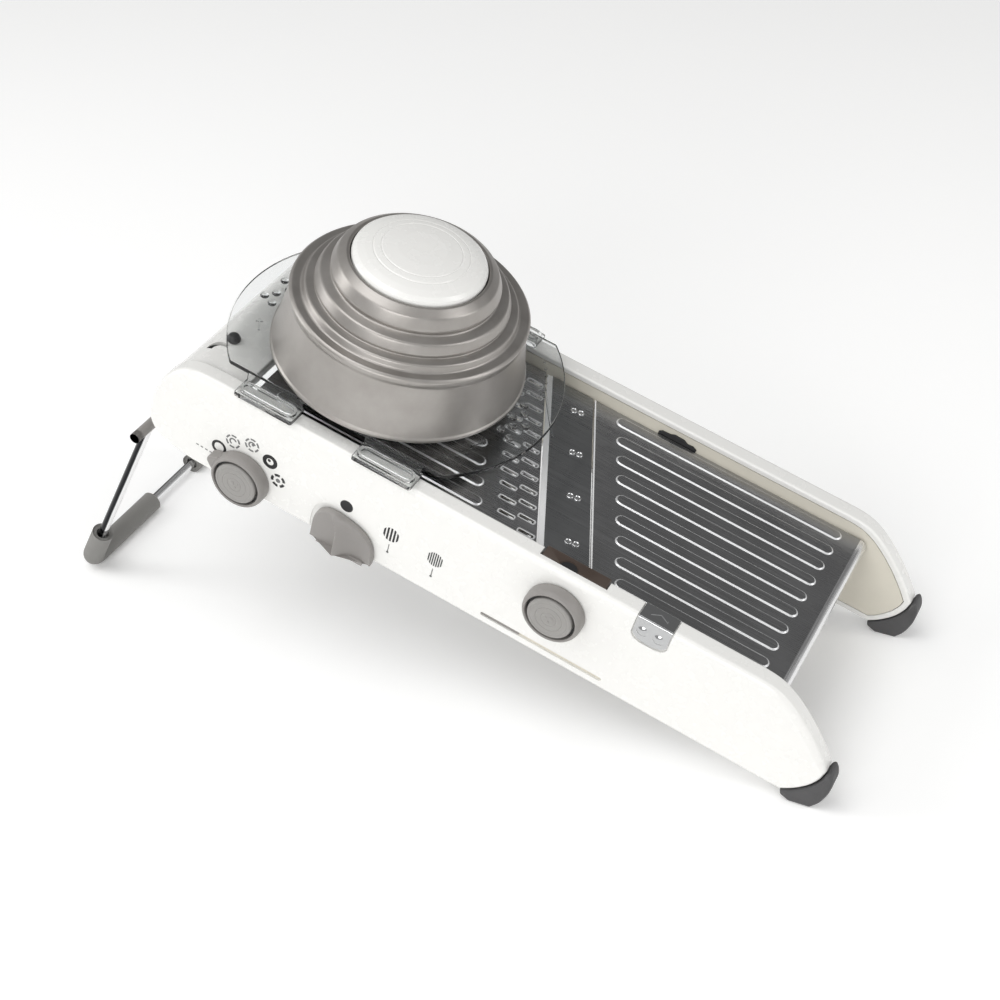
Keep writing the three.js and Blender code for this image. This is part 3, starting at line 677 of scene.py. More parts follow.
def bend(points, radius, n=10):
    out = [tuple(points[0])]
    P = [np.array(p, float) for p in points]
    for i in range(1, len(P) - 1):
        a = P[i - 1] - P[i]
        b = P[i + 1] - P[i]
        a /= np.linalg.norm(a)
        b /= np.linalg.norm(b)
        half = math.acos(float(np.clip(np.dot(a, b), -1, 1))) / 2
        d = radius / math.tan(half)
        c = P[i] + (a + b) / np.linalg.norm(a + b) * radius / math.sin(half)
        s, e = P[i] + a * d - c, P[i] + b * d - c
        ang = math.acos(float(np.clip(np.dot(s, e) / np.linalg.norm(s) / np.linalg.norm(e), -1, 1)))
        for k in range(n + 1):
            t = k / n
            out.append(tuple(c + (math.sin((1 - t) * ang) * s + math.sin(t * ang) * e) / math.sin(ang)))
    out.append(tuple(points[-1]))
    return out


# ---------------------------------------------------------------- side walls
WALL = [
    (27, -49), (12, -46.5), (4, -42), (.6, -36), (0, -29), (.9, -20), (3, -11.5), (6.5, -4), (11, 2.4), (16.5, 6.8), (24, 9.1),
    (36, 9.8), (334, 9.8), (342, 8.6), (350, 4.6), (358, -1.5), (366, -9), (373, -16.8), (378.4, -24),
    (377.7, -29.7), (375.1, -36.3), (371.6, -41.3), (368, -45.4), (363.6, -49)]
WALL_R = [60.0] * 24
WALL_R[18] = 0.8
WALL_R[23] = 0.8


def wall_ring(d):
    return round_poly(offset(WALL, d) if not np.isscalar(d) or abs(d) > 1e-6 else WALL, WALL_R, 5)


def edge_inset(full):
    out = []
    for x, z in WALL:
        if z < -40:
            w = 0.38
        else:
            f = min(1.0, max(0.0, (x - 2) / 26.0))
            w = 0.36 + 0.64 * f * f * (3 - 2 * f)
        if x > 362 and z < -20:
            w = 0.45
        out.append(full * w)
    return out


def shell_mesh(side):
    rings = []
    ins = np.array(edge_inset(3.9))
    for k in range(9):
        a = math.pi / 2 * k / 8
        rings.append([(p[0], -70.5 + 3.1 * (1 - math.cos(a)), p[1]) for p in wall_ring(list(ins * (1 - math.sin(a)) + 1e-5))])
    for k in range(6):
        a = math.pi / 2 * k / 5
        rings.append([(p[0], -60.0 - 1.3 * (1 - math.sin(a)), p[1]) for p in wall_ring(1.3 * (1 - math.cos(a)) + 1e-5)])
    rings.append([(p[0], -60.0, p[1]) for p in wall_ring(3.1)])
    rings.append([(p[0], -60.25, p[1]) for p in wall_ring(3.4)])
    rings.append([(p[0], -67.0, p[1]) for p in wall_ring(3.4)])
    rings.append([(p[0], -67.3, p[1]) for p in wall_ring(3.7)])
    rings = [[(x, -side * y, z) for x, y, z in r] for r in rings]
    v, f = rings_mesh(rings)
    return make("side_shell_" + ("near" if side < 0 else "far"), v, f, [WHITE], weighted=False)


TH, LK = (58.8, -39.5), (232.7, -13.3)
near = shell_mesh(-1)
RECESS = [(99.2, -52), (99.2, -38), (100.9, -31.4), (105.6, -27.2), (112.4, -25.9), (119, -26.6), (127.2, -28.5), (133.8, -32.2),
          (138.4, -36.4), (150, -38), (179, -38), (185, -40.6), (187.6, -45.4), (188.2, -52)]
cutters = [
    cut_xz(circle(*TH, 4.2, 32), -73, -66),
    cut_xz(circle(*LK, 4.2, 32), -73, -66),
    cut_xz(capsule(197.8, 265.3, -42.9, 1.25), -73, -66),
    cut_xz(round_poly(RECESS, 8, 3), -73, -70.05),
    cut_box(104.5, 187, -66.9, -62.9, -51, -44),
    cut_box(215.3, 251.2, -66.0, -59, 6.1, 12),
    cut_box(269.3, 288.5, -72, -59, 8.5, 12),
    cut_xz(round_poly([(269.3, 12), (269.3, -2.4), (271.4, -5.2), (275, -6.1), (283, -6.1), (286.4, -5.2), (288.5, -2.4), (288.5, 12)], 3, 3), -72, -69.25),
]
boolean(near, cutters)
shade(near, 28)
piece(near, "frame", "gloss_white", "side_shell_near")
far = shell_mesh(1)
gap_shape = [(224.0, -1.4), (246.0, -1.4), (246.2, 0.9), (244.0, 2.2), (240.5, 2.0), (238.5, 3.4), (233.0, 3.7), (230.5, 2.6), (226.0, 2.4), (224.2, 1.2)]
v, f = prism(round_poly(gap_shape, 0.7, 3), 59.35, 60.15, 0.1, 0.1, steps=2)
piece(make("carrier_far_end", v, f, BLACK), "frame", "black_plastic")
shade(far, 28)
piece(far, "frame", "gloss_white", "side_shell_far")

# lower front feet
FOOT = [(378.9, -24.6), (378.2, -30), (375.5, -36.6), (372.0, -41.7), (368.3, -46.0), (363.6, -49.5), (364.5, -52), (369.5, -53.5),
        (379.8, -50.05), (382.8, -44.5), (384.3, -36), (384, -29), (382.2, -24.8), (380.2, -22.6)]
FOOT_R = [1.0, 60, 60, 60, 60, 0.6, 1.5, 1.2, 1.6, 60, 60, 60, 60, 1.0]
for side in (-1, 1):
    rings = []
    for k in range(7):
        a = math.pi / 2 * k / 6
        rings.append([(p[0], -70.5 + 1.7 * (1 - math.cos(a)), p[1]) for p in round_poly(offset(FOOT, 1.5 * (1 - math.sin(a)) + 1e-5), FOOT_R, 4)])
    for k in range(6):
        a = math.pi / 2 * k / 5
        rings.append([(p[0], -60.0 - 0.9 * (1 - math.sin(a)), p[1]) for p in round_poly(offset(FOOT, 0.9 * (1 - math.cos(a)) + 1e-5), FOOT_R, 4)])
    rings = [[(x, -side * y, z) for x, y, z in r] for r in rings]
    v, f = rings_mesh(rings)
    n = "front_foot_" + ("near" if side < 0 else "far")
    piece(make(n, v, f, RUBBER), "frame", "foot_rubber", n)

# ---------------------------------------------------------------- rear bridge
BR = [(1.6, -24), (2.3, -17), (4.6, -9.5), (8, -2.7), (12.5, 3.0), (18, 6.7), (24, 7.6), (47, 7.6), (47, 1.4), (44, 1.4), (44, 4.6),
      (24.6, 4.6), (19.6, 4.0), (15, 1.0), (10.8, -4.2), (7.6, -10.6), (5.4, -18), (4.7, -24)]
BR_R = [0.7, 60, 60, 60, 60, 60, 60, 1.0, 0.5, 0.5, 0.6, 60, 60, 60, 60, 60, 60, 0.7]
v, f = prism(round_poly(BR, BR_R, 4), -59.9, 59.9, 0.25, 0.25, steps=2)
bridge = make("rear_bridge", v, f, [WHITE], weighted=False)
cres = []
for k in range(17):
    a = math.pi * (0.30 + 0.78 * k / 16)
    cres.append((21.5 + 6 * math.cos(a), -46.5 + 6 * math.sin(a)))
for k in range(16, -1, -1):
    a = math.pi * (0.34 + 0.70 * k / 16)
    cres.append((22.7 + 4.2 * math.cos(a), -47.4 + 4.2 * math.sin(a)))
v, f = prism(cres, 3, 10, plane="xy")
cc = make("cutter", v, f, [], weighted=False)
boolean(bridge, [cc])
# screw bosses under the bridge
for sy in (-1, 1):
    y0, y1 = (-59.9, -50) if sy < 0 else (50, 59.9)
    v, f = prism(round_poly([(18.4, -4.5), (28.4, -4.5), (28.4, 4.9), (18.4, 4.9)], 0.8, 2), y0, y1, 0.4, 0.4, steps=2)
    boss = make("cutter", v, f, [WHITE], weighted=False)
    boolean(bridge, [boss], "UNION")
boolean(bridge, [cut_xz(circle(23.4, -0.6, 1.6, 20), -60.5, -51), cut_xz(circle(23.4, -0.6, 1.6, 20), 51, 60.5)])
shade(bridge, 30)
piece(bridge, "frame", "gloss_white", "rear_bridge")
# dark block under the crescent opening: painted shade for the dark inside of the bridge
v, f = prism(offset(cres, -0.6), 2.2, 4.3, 0.2, 0.2, plane="xy", steps=2)
piece(make("bridge_opening_lining", v, f, INK), "frame", "black_plastic")
v, f = lathe(smooth_profile([(0, 7.95), (3.5, 7.95), (3.5, 9.4), (2.6, 11.2), (0, 11.9)], 1.2, 4), 24.5, -38, 40)
piece(make("guard_stop_bumper", v, f, BLACK), "frame", "black_plastic", "guard_stop_bumper")

# ---------------------------------------------------------------- ramp plate
def edge(y):
    return 185.4 - 0.465 * y


def rear(y):
    return 213.4 - 0.465 * y


def slot_loop(x, y):
    return round_poly([(x - 4.15, y - 0.95), (x + 4.15, y - 0.95), (x + 4.15, y + 0.95), (x - 4.15, y + 0.95)], 0.75, 3)


outline = round_poly([(49, -59.2), (edge(-59.2) - 0.9, -59.2), (edge(59.2) - 0.9, 59.2), (49, 59.2)], 0.5, 2)
holes, contours = [], []
for k in range(12):
    y = -49.65 + 8.87 * k
    holes.append((edge(y) - 6.8, y))
for k in range(11):
    y = -44.5 + 8.87 * k
    holes.append((edge(y) - 18.0, y))
loops = [slot_loop(x, y) for x, y in holes]
for x, y in holes:
    base = [(x - 4.15, y - 0.95), (x + 4.15, y - 0.95), (x + 4.15, y + 0.95), (x - 4.15, y + 0.95)]
    # slot rims rise 0.18 so that their slopes take the painted highlight material
    contours.append((round_poly(offset(base, -0.35), 1.0, 3), 0.18))
    contours.append((round_poly(offset(base, -0.75), 1.3, 3), 0.0))
for k in range(-4, 5):
    y = 2 + 12.1 * k
    contours += mound(lambda d, y=y: capsule(58 + d, edge(y) - 31.7 - d, y, 3.5 - d, 10), 0.95, 0.62, foot=0.1)
v, f = plate(outline, loops, contours, 0.0, -1.2)
ramp = make("ramp_plate", v, f, [RAMPM, FLANK_HIGHLIGHT], angle=50)
# sloped ridge and slot-rim faces take the painted highlight material
flank(ramp, 1, 0.02, 0.56)
piece(ramp, "ramp", "brushed_deck", "ramp_plate")

# ---------------------------------------------------------------- landing deck with its rolled front edge
XC = 251.2
outline = [(rear(-57.4) + 0.7, -57.4), (XC, -57.4), (XC, -58.9), (341, -58.9), (341, 58.9), (rear(58.9) + 0.7, 58.9)]
outline = round_poly(outline, [0.5, 0.4, 0.4, 0.05, 0.05, 0.5], 2)
contours = []
for k in range(-4, 5):
    y = 2 + 12.78 * k
    x0 = rear(y) + 14.1
    contours += mound(lambda d, y=y, x0=x0: capsule(x0 + d, 332.2 - d, y, 3.6 - d, 10), 0.95, 0.62, foot=0.1)
# a narrow raised strip along the blade in the ground-bevel material: partly a dressed finish, partly a painted
# highlight
strip = [(rear(-57.2) + 1.0, -57.2), (rear(-57.2) + 1.6, -57.2), (rear(58.7) + 1.6, 58.7), (rear(58.7) + 1.0, 58.7)]
contours.append((strip, 0.22))
v, f = plate(outline, [], contours, 0.0, -1.2)
deck = make("landing_deck", v, f, [DECK, GROUND_AND_HIGHLIGHT, FLANK_HIGHLIGHT], angle=50)
# the strip's faces take the ground-bevel material, partly a ground finish and partly a painted highlight
idx = np.zeros(len(deck.data.polygons), int)
for i, p in enumerate(deck.data.polygons):
    c = p.center
    lx = ((c.x - OX) * CT - (c.z - OZ) * ST) * 1000
    ly = (c.y - OY) * 1000
    lz = ((c.x - OX) * ST + (c.z - OZ) * CT) * 1000
    if lz > -0.4 and rear(ly) + 0.62 < lx < rear(ly) + 1.95:
        idx[i] = 1
deck.data.polygons.foreach_set("material_index", idx)
# sloped ridge faces away from the blade take the painted highlight material
flank(deck, 2, 0.02, 0.56, lambda a, b: a > rear(b) + 8)
piece(deck, "deck", "brushed_deck", "landing_deck")
ROLL = [(341.0, 0.0), (342.3, -0.05), (343.5, -0.55), (344.6, -1.6), (345.2, -3.0), (345.3, -4.4), (345.3, -8.3), (345.0, -8.6), (344.4, -8.6), (344.1, -8.3),
        (344.1, -3.6), (343.6, -2.4), (342.7, -1.55), (341.6, -1.2), (341.0, -1.2)]
v, f = prism(ROLL, -58.9, 58.9, 0.15, 0.15, steps=2)
roll = make("landing_deck_rolled_edge", v, f, steel("rolled_edge_steel", (0.80, 0.80, 0.805), 0.22, (2400.0, 24.0, 2400.0), 0.3, 0.15), angle=60)
piece(roll, "deck", "brushed_deck")
for y in (-54, 54):
    v, f = prism(round_poly([(333.5, -9.6), (342.5, -9.6), (342.5, -1.0), (333.5, -1.0)], 1.8, 3), y - 2, y + 2, 0.3, 0.3, steps=2)
    lug = make("deck_lug_" + ("near" if y < 0 else "far"), v, f, [DECK], weighted=False)
    boolean(lug, [cut_xz(circle(338, -5.6, 2.75, 28), y - 3, y + 3)])
    shade(lug, 30)
    piece(lug, "deck", "brushed_deck")

# ---------------------------------------------------------------- blade with ground bevel
ys = (-57.55, 59.2)
sec = [(185.4, -1.02), (188.6, -0.17), (189.0, -0.15), (213.25, -0.15), (213.4, -0.3), (213.4, -1.15), (185.6, -1.15)]
rings = []
for i in range(25):
    y = ys[0] + (ys[1] - ys[0]) * i / 24
    rings.append([(x - 0.465 * y, y, z) for x, z in sec])
v, f = rings_mesh(rings)
ns = len(sec)
# the bevel faces take the ground-bevel material, partly a painted highlight
index = [1 if (i % ns) == 0 and i < 24 * ns else 0 for i in range(len(f))]
blade = make("blade", v, f, [BLADE, GROUND_AND_HIGHLIGHT], angle=2.0, index=index, weighted=False)
piece(blade, "frame", "brushed_deck", "blade")
for i, y in enumerate((-40.45, -12.15, 16.15, 44.45)):
    for k, (dx, dy) in enumerate(((-1.9, -0.4), (1.9, 0.4))):
        x = 203.9 - 0.46 * y + dx
        prof = smooth_profile([(0, -0.14), (1.92, -0.14), (1.92, 0.12), (1.7, 0.42), (1.45, 0.40), (1.1, 0.14), (0.5, 0.02), (0, 0.0)], 0.4, 3)
        v, f = lathe(prof, x, y + dy, 32)
        n = "blade_rivet_%d%s" % (i + 1, "ab"[k])
        piece(make(n, v, f, BRIGHT, angle=45), "frame", "bright_steel", n)

# blade carrier: bar, riser and the ledge in the notch
def sheared_bar(x0, x1, y0, y1, z0, z1, r=0.4):
    base = [(x0 - 0.465 * y0, y0), (x1 - 0.465 * y0, y0), (x1 - 0.465 * y1, y1), (x0 - 0.465 * y1, y1)]
    return prism(round_poly(base, 0.5, 2), z0, z1, r, r, plane="xy", steps=2)


v, f = sheared_bar(189.6, 213.2, -57.6, 58.9, -7.3, -1.5)
carrier = make("blade_carrier", v, f, [BROWN], weighted=False)
v, f = prism(round_poly([(217, -7.3), (249.5, -7.3), (249.5, 8.7), (217, 8.7)], 0.6, 2), -59.9, -57.9, 0.3, 0.3, steps=2)
riser = make("cutter", v, f, [BROWN], weighted=False)
boolean(riser, [cut_xz([(200, -8), (213.4 - 0.465 * -59 - 24.2, -8), (213.4 - 0.465 * -59 - 24.2, -0.9), (200, -0.9)], -62, -56)])
v, f = prism(round_poly([(216, 6.5), (250.5, 6.5), (250.5, 8.75), (249.9, 9.35), (216.6, 9.35), (216, 8.75)], 0.5, 2), -65.4, -57.9, 0.5, 0.5, steps=3)
lip = make("cutter", v, f, [BROWN], weighted=False)
boolean(carrier, [riser, lip], "UNION")
v, f = lathe([(0, 9.05), (5.2, 9.05), (5.2, 14), (0, 14)], 230.5, -65.7, 48)
half = make("cutter", v, f, [], weighted=False)
boolean(carrier, [half])
shade(carrier, 30)
piece(carrier, "frame", "black_plastic", "blade_carrier")
v, f = lathe(smooth_profile([(0, 8.2), (4.7, 8.2), (4.7, 9.08), (4.2, 9.22), (0, 9.22)], 0.3, 2), 230.5, -65.6, 40)
hm = make("carrier_latch_mark", v, f, [BLACK], weighted=False)
boolean(hm, [cut_box(220, 240, -75, -65.35, 6, 12)])
shade(hm, 30)
piece(hm, "frame", "black_plastic")

# ---------------------------------------------------------------- lift tab: one strip folded over the wall
LT = [(-59.2 - 0.375, -1.0), (-59.575, 8.0), (-59.575, 9.3), (-60.9, 9.3), (-68.6, 9.3), (-69.95, 9.3), (-69.95, 7.9), (-69.95, -5.3)]
path = round_poly([(-59.575, -1.0), (-59.575, 9.3), (-69.95, 9.3), (-69.95, -5.3)], 1.3, 8, closed=False)
path = np.array(path)
seg = np.r_[0, np.cumsum(np.linalg.norm(np.diff(path, axis=0), axis=1))]
LEN = seg[-1]


def tab_map(x, u, h, top):
    u = min(max(u, 0), LEN)
    i = int(min(np.searchsorted(seg, u, side="right") - 1, len(seg) - 2))
    t = (u - seg[i]) / (seg[i + 1] - seg[i])
    p = path[i] * (1 - t) + path[i + 1] * t

    def normal(j):
        a, b = path[max(0, j - 1)], path[min(len(path) - 1, j + 1)]
        d = (b - a) / np.linalg.norm(b - a)
        return np.array([d[1], -d[0]])

    nn = normal(i) * (1 - t) + normal(i + 1) * t
    nn /= np.linalg.norm(nn)
    q = p + nn * h
    return (x, q[0], q[1])


R = 8.9
lowc = LEN - 4.6
outl = [(270.0, 0.3), (287.8, 0.3)]
for k in range(17):
    a = math.pi * k / 16
    outl.append((278.9 + R * math.cos(a), lowc + 4.55 * math.sin(a)))
cont = []
for cx in (274.5, 283.0):
    for r_, h_ in ((3.15, 0.0), (2.9, 0.18), (2.4, 0.55), (1.7, 0.95), (1.0, 1.18), (0.4, 1.27)):
        cont.append((circle(cx, lowc - 2.2, r_, 28), h_))
# raised chevron in place of any lettering
ch = [(274.6, -1.9), (278.9, 0.7), (283.2, -1.9), (283.2, -0.7), (278.9, 1.9), (274.6, -0.7)]
uc = 14.6
chev = [(x, uc - (z + 0.3)) for x, z in ch]
cont.append((offset(chev, -0.18), 0.0))
cont.append((chev, 0.28))
pts = []
for j in range(1, 60):
    u = LEN * j / 60
    for x in (270.6, 278.9, 287.2):
        if u < lowc - 6.2 and not (uc - 3 < u < uc + 3.2):
            pts.append((x, u, 0.0))
bends = [s for s, p in zip(seg, path) if 0.3 < s < LEN - 10.5 and not (uc - 3 < s < uc + 3.2)]
for u in bends:
    for x in (270.0 + 0.001, 273, 276, 279, 282, 285, 287.8 - 0.001):
        pts.append((x, u, 0.0))
outl2 = [(270.0, 0.3), (287.8, 0.3)]
outl2 += [(287.8, u) for u in bends]
outl2 += outl[2:]
outl2 += [(270.0, u) for u in bends[::-1]]
v, f = plate(outl2, [], cont, 0.38, -0.38, pts, tab_map)
piece(make("lift_tab", v, f, TABM, angle=40), "deck", "chrome_wire", "lift_tab")

# ---------------------------------------------------------------- knobs
def knob(name, cx, cz, face, body, slot_name, tilt_deg=None):
    prof = [(0, -70.95), (15.0, -70.95), (15.4, -71.4), (15.4, -75.6), (15.15, -76.8), (14.65, -77.8), (14.0, -78.4), (13.45, -78.35), (13.1, -77.9), (13.0, -74.4), (0, -74.4)]
    v, f = lathe(smooth_profile(prof, 0.7, 3), cx, cz, 112, "y")
    parts = [(v, f)]
    o = make(name, v, f, [GREY], weighted=False)
    if tilt_deg is not None:
        a = math.radians(tilt_deg)
        c, s = math.cos(a), math.sin(a)
        tip = [(13.6, -5.4), (16.4, -3.9), (18.9, -1.9), (19.6, 0), (18.9, 1.9), (16.4, 3.9), (13.6, 5.4)]
        pl = round_poly([(cx + u * c - w * s, cz + u * s + w * c) for u, w in tip], [0.2, 20, 2, 2, 2, 20, 0.2], 4)
        v, f = prism(pl, -76.9, -71.0, 0.7, 0.2, steps=3)
        piece(make("thickness_pointer", v, f, GREY, angle=40), body, slot_name)
    shade(o, 40)
    piece(o, body, slot_name, name)
    ins = [(0, -74.6), (11.75, -74.6), (11.75, -78.0), (11.5, -78.6), (10.9, -78.95), (10.2, -78.98), (9.9, -78.86), (9.5, -78.86), (9.2, -79.0),
           (7.3, -79.02), (7.1, -78.84), (6.8, -78.84), (6.6, -79.02), (4.3, -79.04), (4.1, -78.88), (3.8, -78.88), (3.6, -79.05), (0, -79.08)]
    v, f = lathe(smooth_profile(ins, 0.35, 2), cx, cz, 112, "y")
    o = make(face, v, f, [GREY2], weighted=False)
    # the face's three small raised pads, like a moulded symbol, are added further down as the face marks
    shade(o, 40)
    piece(o, body, slot_name, face)


knob("thickness_dial", *TH, "thickness_dial_face", "dial", "warm_grey", 163)
knob("lock_knob", *LK, "lock_knob_face", "lock", "warm_grey")
# black groove floor rings: painted shade at the bottom of the knob grooves
for n, (cx, cz), b in (("thickness_groove_ring", TH, "dial"), ("lock_groove_ring", LK, "lock")):
    v, f = lathe([(11.78, -74.6), (12.96, -74.6), (12.96, -75.7), (11.78, -75.7)], cx, cz, 96, "y")
    piece(make(n, v, f, BLACK), b, "black_plastic")
for n, (cx, cz), b, ang in (("thickness_face_mark", TH, "dial", 163), ("lock_face_mark", LK, "lock", 40)):
    a = math.radians(ang)
    c, s = math.cos(a), math.sin(a)
    parts = []
    for (u, w, r) in ((1.5, 0, 1.05), (-1.1, 1.35, 0.55), (-1.1, -1.35, 0.55)):
        v, f = lathe([(0, -79.0), (r, -79.0), (r, -79.2), (r * 0.8, -79.3), (0, -79.33)], cx + u * c - w * s, cz + u * s + w * c, 24, "y")
        parts.append((v, f))
    v, f = join(parts)
    piece(make(n, v, f, GREY2), b, "warm_grey")

# ---------------------------------------------------------------- selector lever
LEVER = [(101.8, -50.2), (101.8, -38), (103.2, -32.5), (107, -28.8), (112.5, -27.8), (118, -28.4), (126, -30.2), (132, -33.4), (135.8, -38.6), (137.2, -45), (137.2, -50.2)]
lev = round_poly(LEVER, [0.8, 60, 60, 60, 60, 60, 60, 60, 60, 60, 0.8], 5)


def lever_height(x, z):
    """thickness of the lever over its outline: flat lobe at the left, a thumb fin, and a scoop at the right"""
    P = np.array(lev)
    Q = np.roll(P, -1, 0)
    e = Q - P
    t = np.clip(((x - P[:, 0]) * e[:, 0] + (z - P[:, 1]) * e[:, 1]) / np.maximum(np.sum(e * e, 1), 1e-9), 0, 1)
    dist = float(np.min(np.hypot(P[:, 0] + t * e[:, 0] - x, P[:, 1] + t * e[:, 1] - z)))
    open_low = z < -49.0
    if z < -46:
        side = [abs(x - 101.8), abs(x - 137.2), z + 50.2 + 0.35]
        dist = min(side[0], side[1], max(z + 50.2, 0) + 0.0)
    ed = min(1.0, dist / 1.1)
    roundoff = 1.15 * (1 - math.sqrt(max(0.0, 1 - (1 - ed) ** 2)))
    base = 3.6
    zf = min(1.0, max(0.0, (-z - 28.4) / 20.0))          # 0 at the top, 1 at the lower edge
    crest = 113.0 + 4.2 * min(1.0, max(0.0, (-z - 28.4) / 7.0)) + 1.0 * min(1.0, max(0.0, (-z - 35.4) / 14.0))
    left = crest - 1.7
    rise = 5.5 * (zf ** 0.5)
    if x < left:
        s = max(0.0, 1 - (left - x) / 1.2)
        h = base + rise * 0.06 * s * s
    elif x < crest:
        f = (x - left) / (crest - left)
        h = base + rise * (0.06 + 0.94 * f * f * (3 - 2 * f))
    else:
        # scoop: falls from the fin, hollow, and climbs to the right rim
        f = (x - crest) / (137.2 - crest)
        h = base - 0.5 * f + (rise + 0.0) * math.exp(-((f / 0.27) ** 1.5))
        h -= 1.5 * math.sin(math.pi * min(1.0, f) ** 0.9) * min(1.0, zf * 1.6 + 0.15)
    return max(0.9, h - roundoff)


contours = []
for d in (0.25, 0.6, 1.1):
    lp = offset(lev, d)
    contours.append(([p for p in lp], None))
cont = []
for lp, _ in contours:
    pass
pts = []
for i in range(1, 72):
    x = 101.8 + 35.4 * i / 72
    for j in range(1, 46):
        z = -50.2 + 22.4 * j / 46
        pts.append((x, z))
P = np.array(pts)
ok = inside(offset(lev, 0.35), P[:, 0], P[:, 1])
P = P[ok]
pts3 = [(x, z, lever_height(x, z)) for x, z in P]
# outline heights follow the surface too, so the plate is built by hand here
loop_pts = lev
vs, es, fs, ov, oe, of_ = delaunay_2d_cdt([Vector(p) for p in loop_pts] + [Vector((a, b)) for a, b, _ in pts3],
                                         [(i, (i + 1) % len(loop_pts)) for i in range(len(loop_pts))], [], 0, 1e-5)
PP = np.array([(q[0], q[1]) for q in vs])
TT = np.array([tuple(q) for q in fs])
cen = PP[TT].mean(1)
TT = TT[inside(loop_pts, cen[:, 0], cen[:, 1])]
HH = np.array([lever_height(x, z) for x, z in PP])
n = len(PP)
verts = [(x, -70.95 - h, z) for (x, z), h in zip(PP, HH)] + [(x, -70.95, z) for (x, z) in PP]
faces = [tuple(t) for t in TT] + [tuple(i + n for i in t[::-1]) for t in TT]
edges_ = {}
for t in TT:
    for i in range(3):
        edges_[(int(t[i]), int(t[(i + 1) % 3]))] = 1
for (i, j) in edges_:
    if (j, i) not in edges_:
        faces.append((j, i, i + n, j + n))
lever = make("selector_lever", verts, faces, [GREY], weighted=False)
v, f = prism(round_poly([(106, -52.0), (133, -52.0), (133, -49.5), (106, -49.5)], 0.6, 2), -74.5, -63.6, 0.3, 0.3, steps=2)
hook = make("cutter", v, f, [GREY], weighted=False)
v, f = prism(round_poly([(106, -52.0), (133, -52.0), (133, -44.6), (106, -44.6)], 0.6, 2), -66.4, -63.4, 0.3, 0.3, steps=2)
tongue = make("cutter", v, f, [GREY], weighted=False)
boolean(lever, [hook, tongue], "UNION")
shade(lever, 38, False)
piece(lever, "selector", "warm_grey", "selector_lever")

# ---------------------------------------------------------------- folding wire stand
SP, SF, SY = (-7, -57), (-36, -183.15), 57
wire = bend([(SP[0], -66.2, SP[1]), (SP[0], -SY, SP[1]), (SF[0], -SY, SF[1]), (SF[0], SY, SF[1]), (SP[0], SY, SP[1]), (SP[0], 66.2, SP[1])], 5.0, 12)
v, f = tube(wire, 2.5, 32, 0.4)
piece(make("stand_wire", v, f, WIRE_PAINTED_REFLECTION, angle=50), "stand", "chrome_wire", "stand_wire")
upv = np.array([SP[0] - SF[0], 0, SP[1] - SF[1]], float)
upv /= np.linalg.norm(upv)
for side, along, nm in ((-1, 58, "near"), (1, 16, "far")):
    corner = np.array([SF[0], side * SY, SF[1]], float)
    a = corner + upv * 27
    b = corner + np.array([0, -side * along, 0])
    pth = bend([tuple(a), tuple(corner), tuple(b)], 6.4, 14)
    v, f = tube(pth, 6.0, 40, 0.9)
    sl = make("stand_foot_" + nm, v, f, [SLEEVE], weighted=False)
    # open mouths round the wire
    m1 = a + upv * 1.0
    v, f = tube([tuple(a - upv * 3.0), tuple(m1)], 3.5, 32)
    c1 = make("cutter", v, f, [], weighted=False)
    dirb = np.array([0, -side, 0.0])
    v, f = tube([tuple(b - dirb * 3.0), tuple(b + dirb * 1.0)], 3.5, 32)
    c2 = make("cutter", v, f, [], weighted=False)
    boolean(sl, [c1, c2])
    shade(sl, 40)
    piece(sl, "stand", "sleeve_rubber", "stand_foot_" + nm)
LUG = [(-12, -57.5), (-10.6, -53), (-6, -48.2), (-1.2, -43.6), (3.2, -43.0), (11.4, -47.4), (14.6, -48.2), (11, -59), (6.5, -65.5), (1, -67.4), (-6, -65.8), (-10.6, -62.2)]
for side in (-1, 1):
    v, f = prism(round_poly(LUG, [60, 60, 60, 3, 3, 2, 1, 60, 60, 60, 60, 60], 4), -66.0, -60.6, 1.1, 0.8, steps=4)
    v = [(x, -side * y, z) for x, y, z in v]
    n = "stand_bracket_" + ("near" if side < 0 else "far")
    o = make(n, v, f, [GREY], weighted=False)
    boolean(o, [cut_xz(circle(*SP, 2.9, 32), -70, 70)])
    shade(o, 38)
    piece(o, "frame", "warm_grey", n)

# ---------------------------------------------------------------- clear sliding guard
GX = 97.1


def plate_outline(r, half):
    a0 = math.asin(half / r)
    out = []
    for k in range(49):
        a = -a0 + 2 * a0 * k / 48
        out.append((GX + r * math.cos(a), r * math.sin(a)))
    for k in range(49):
        a = math.pi - a0 + 2 * a0 * k / 48
        out.append((GX + r * math.cos(a), r * math.sin(a)))
    return out


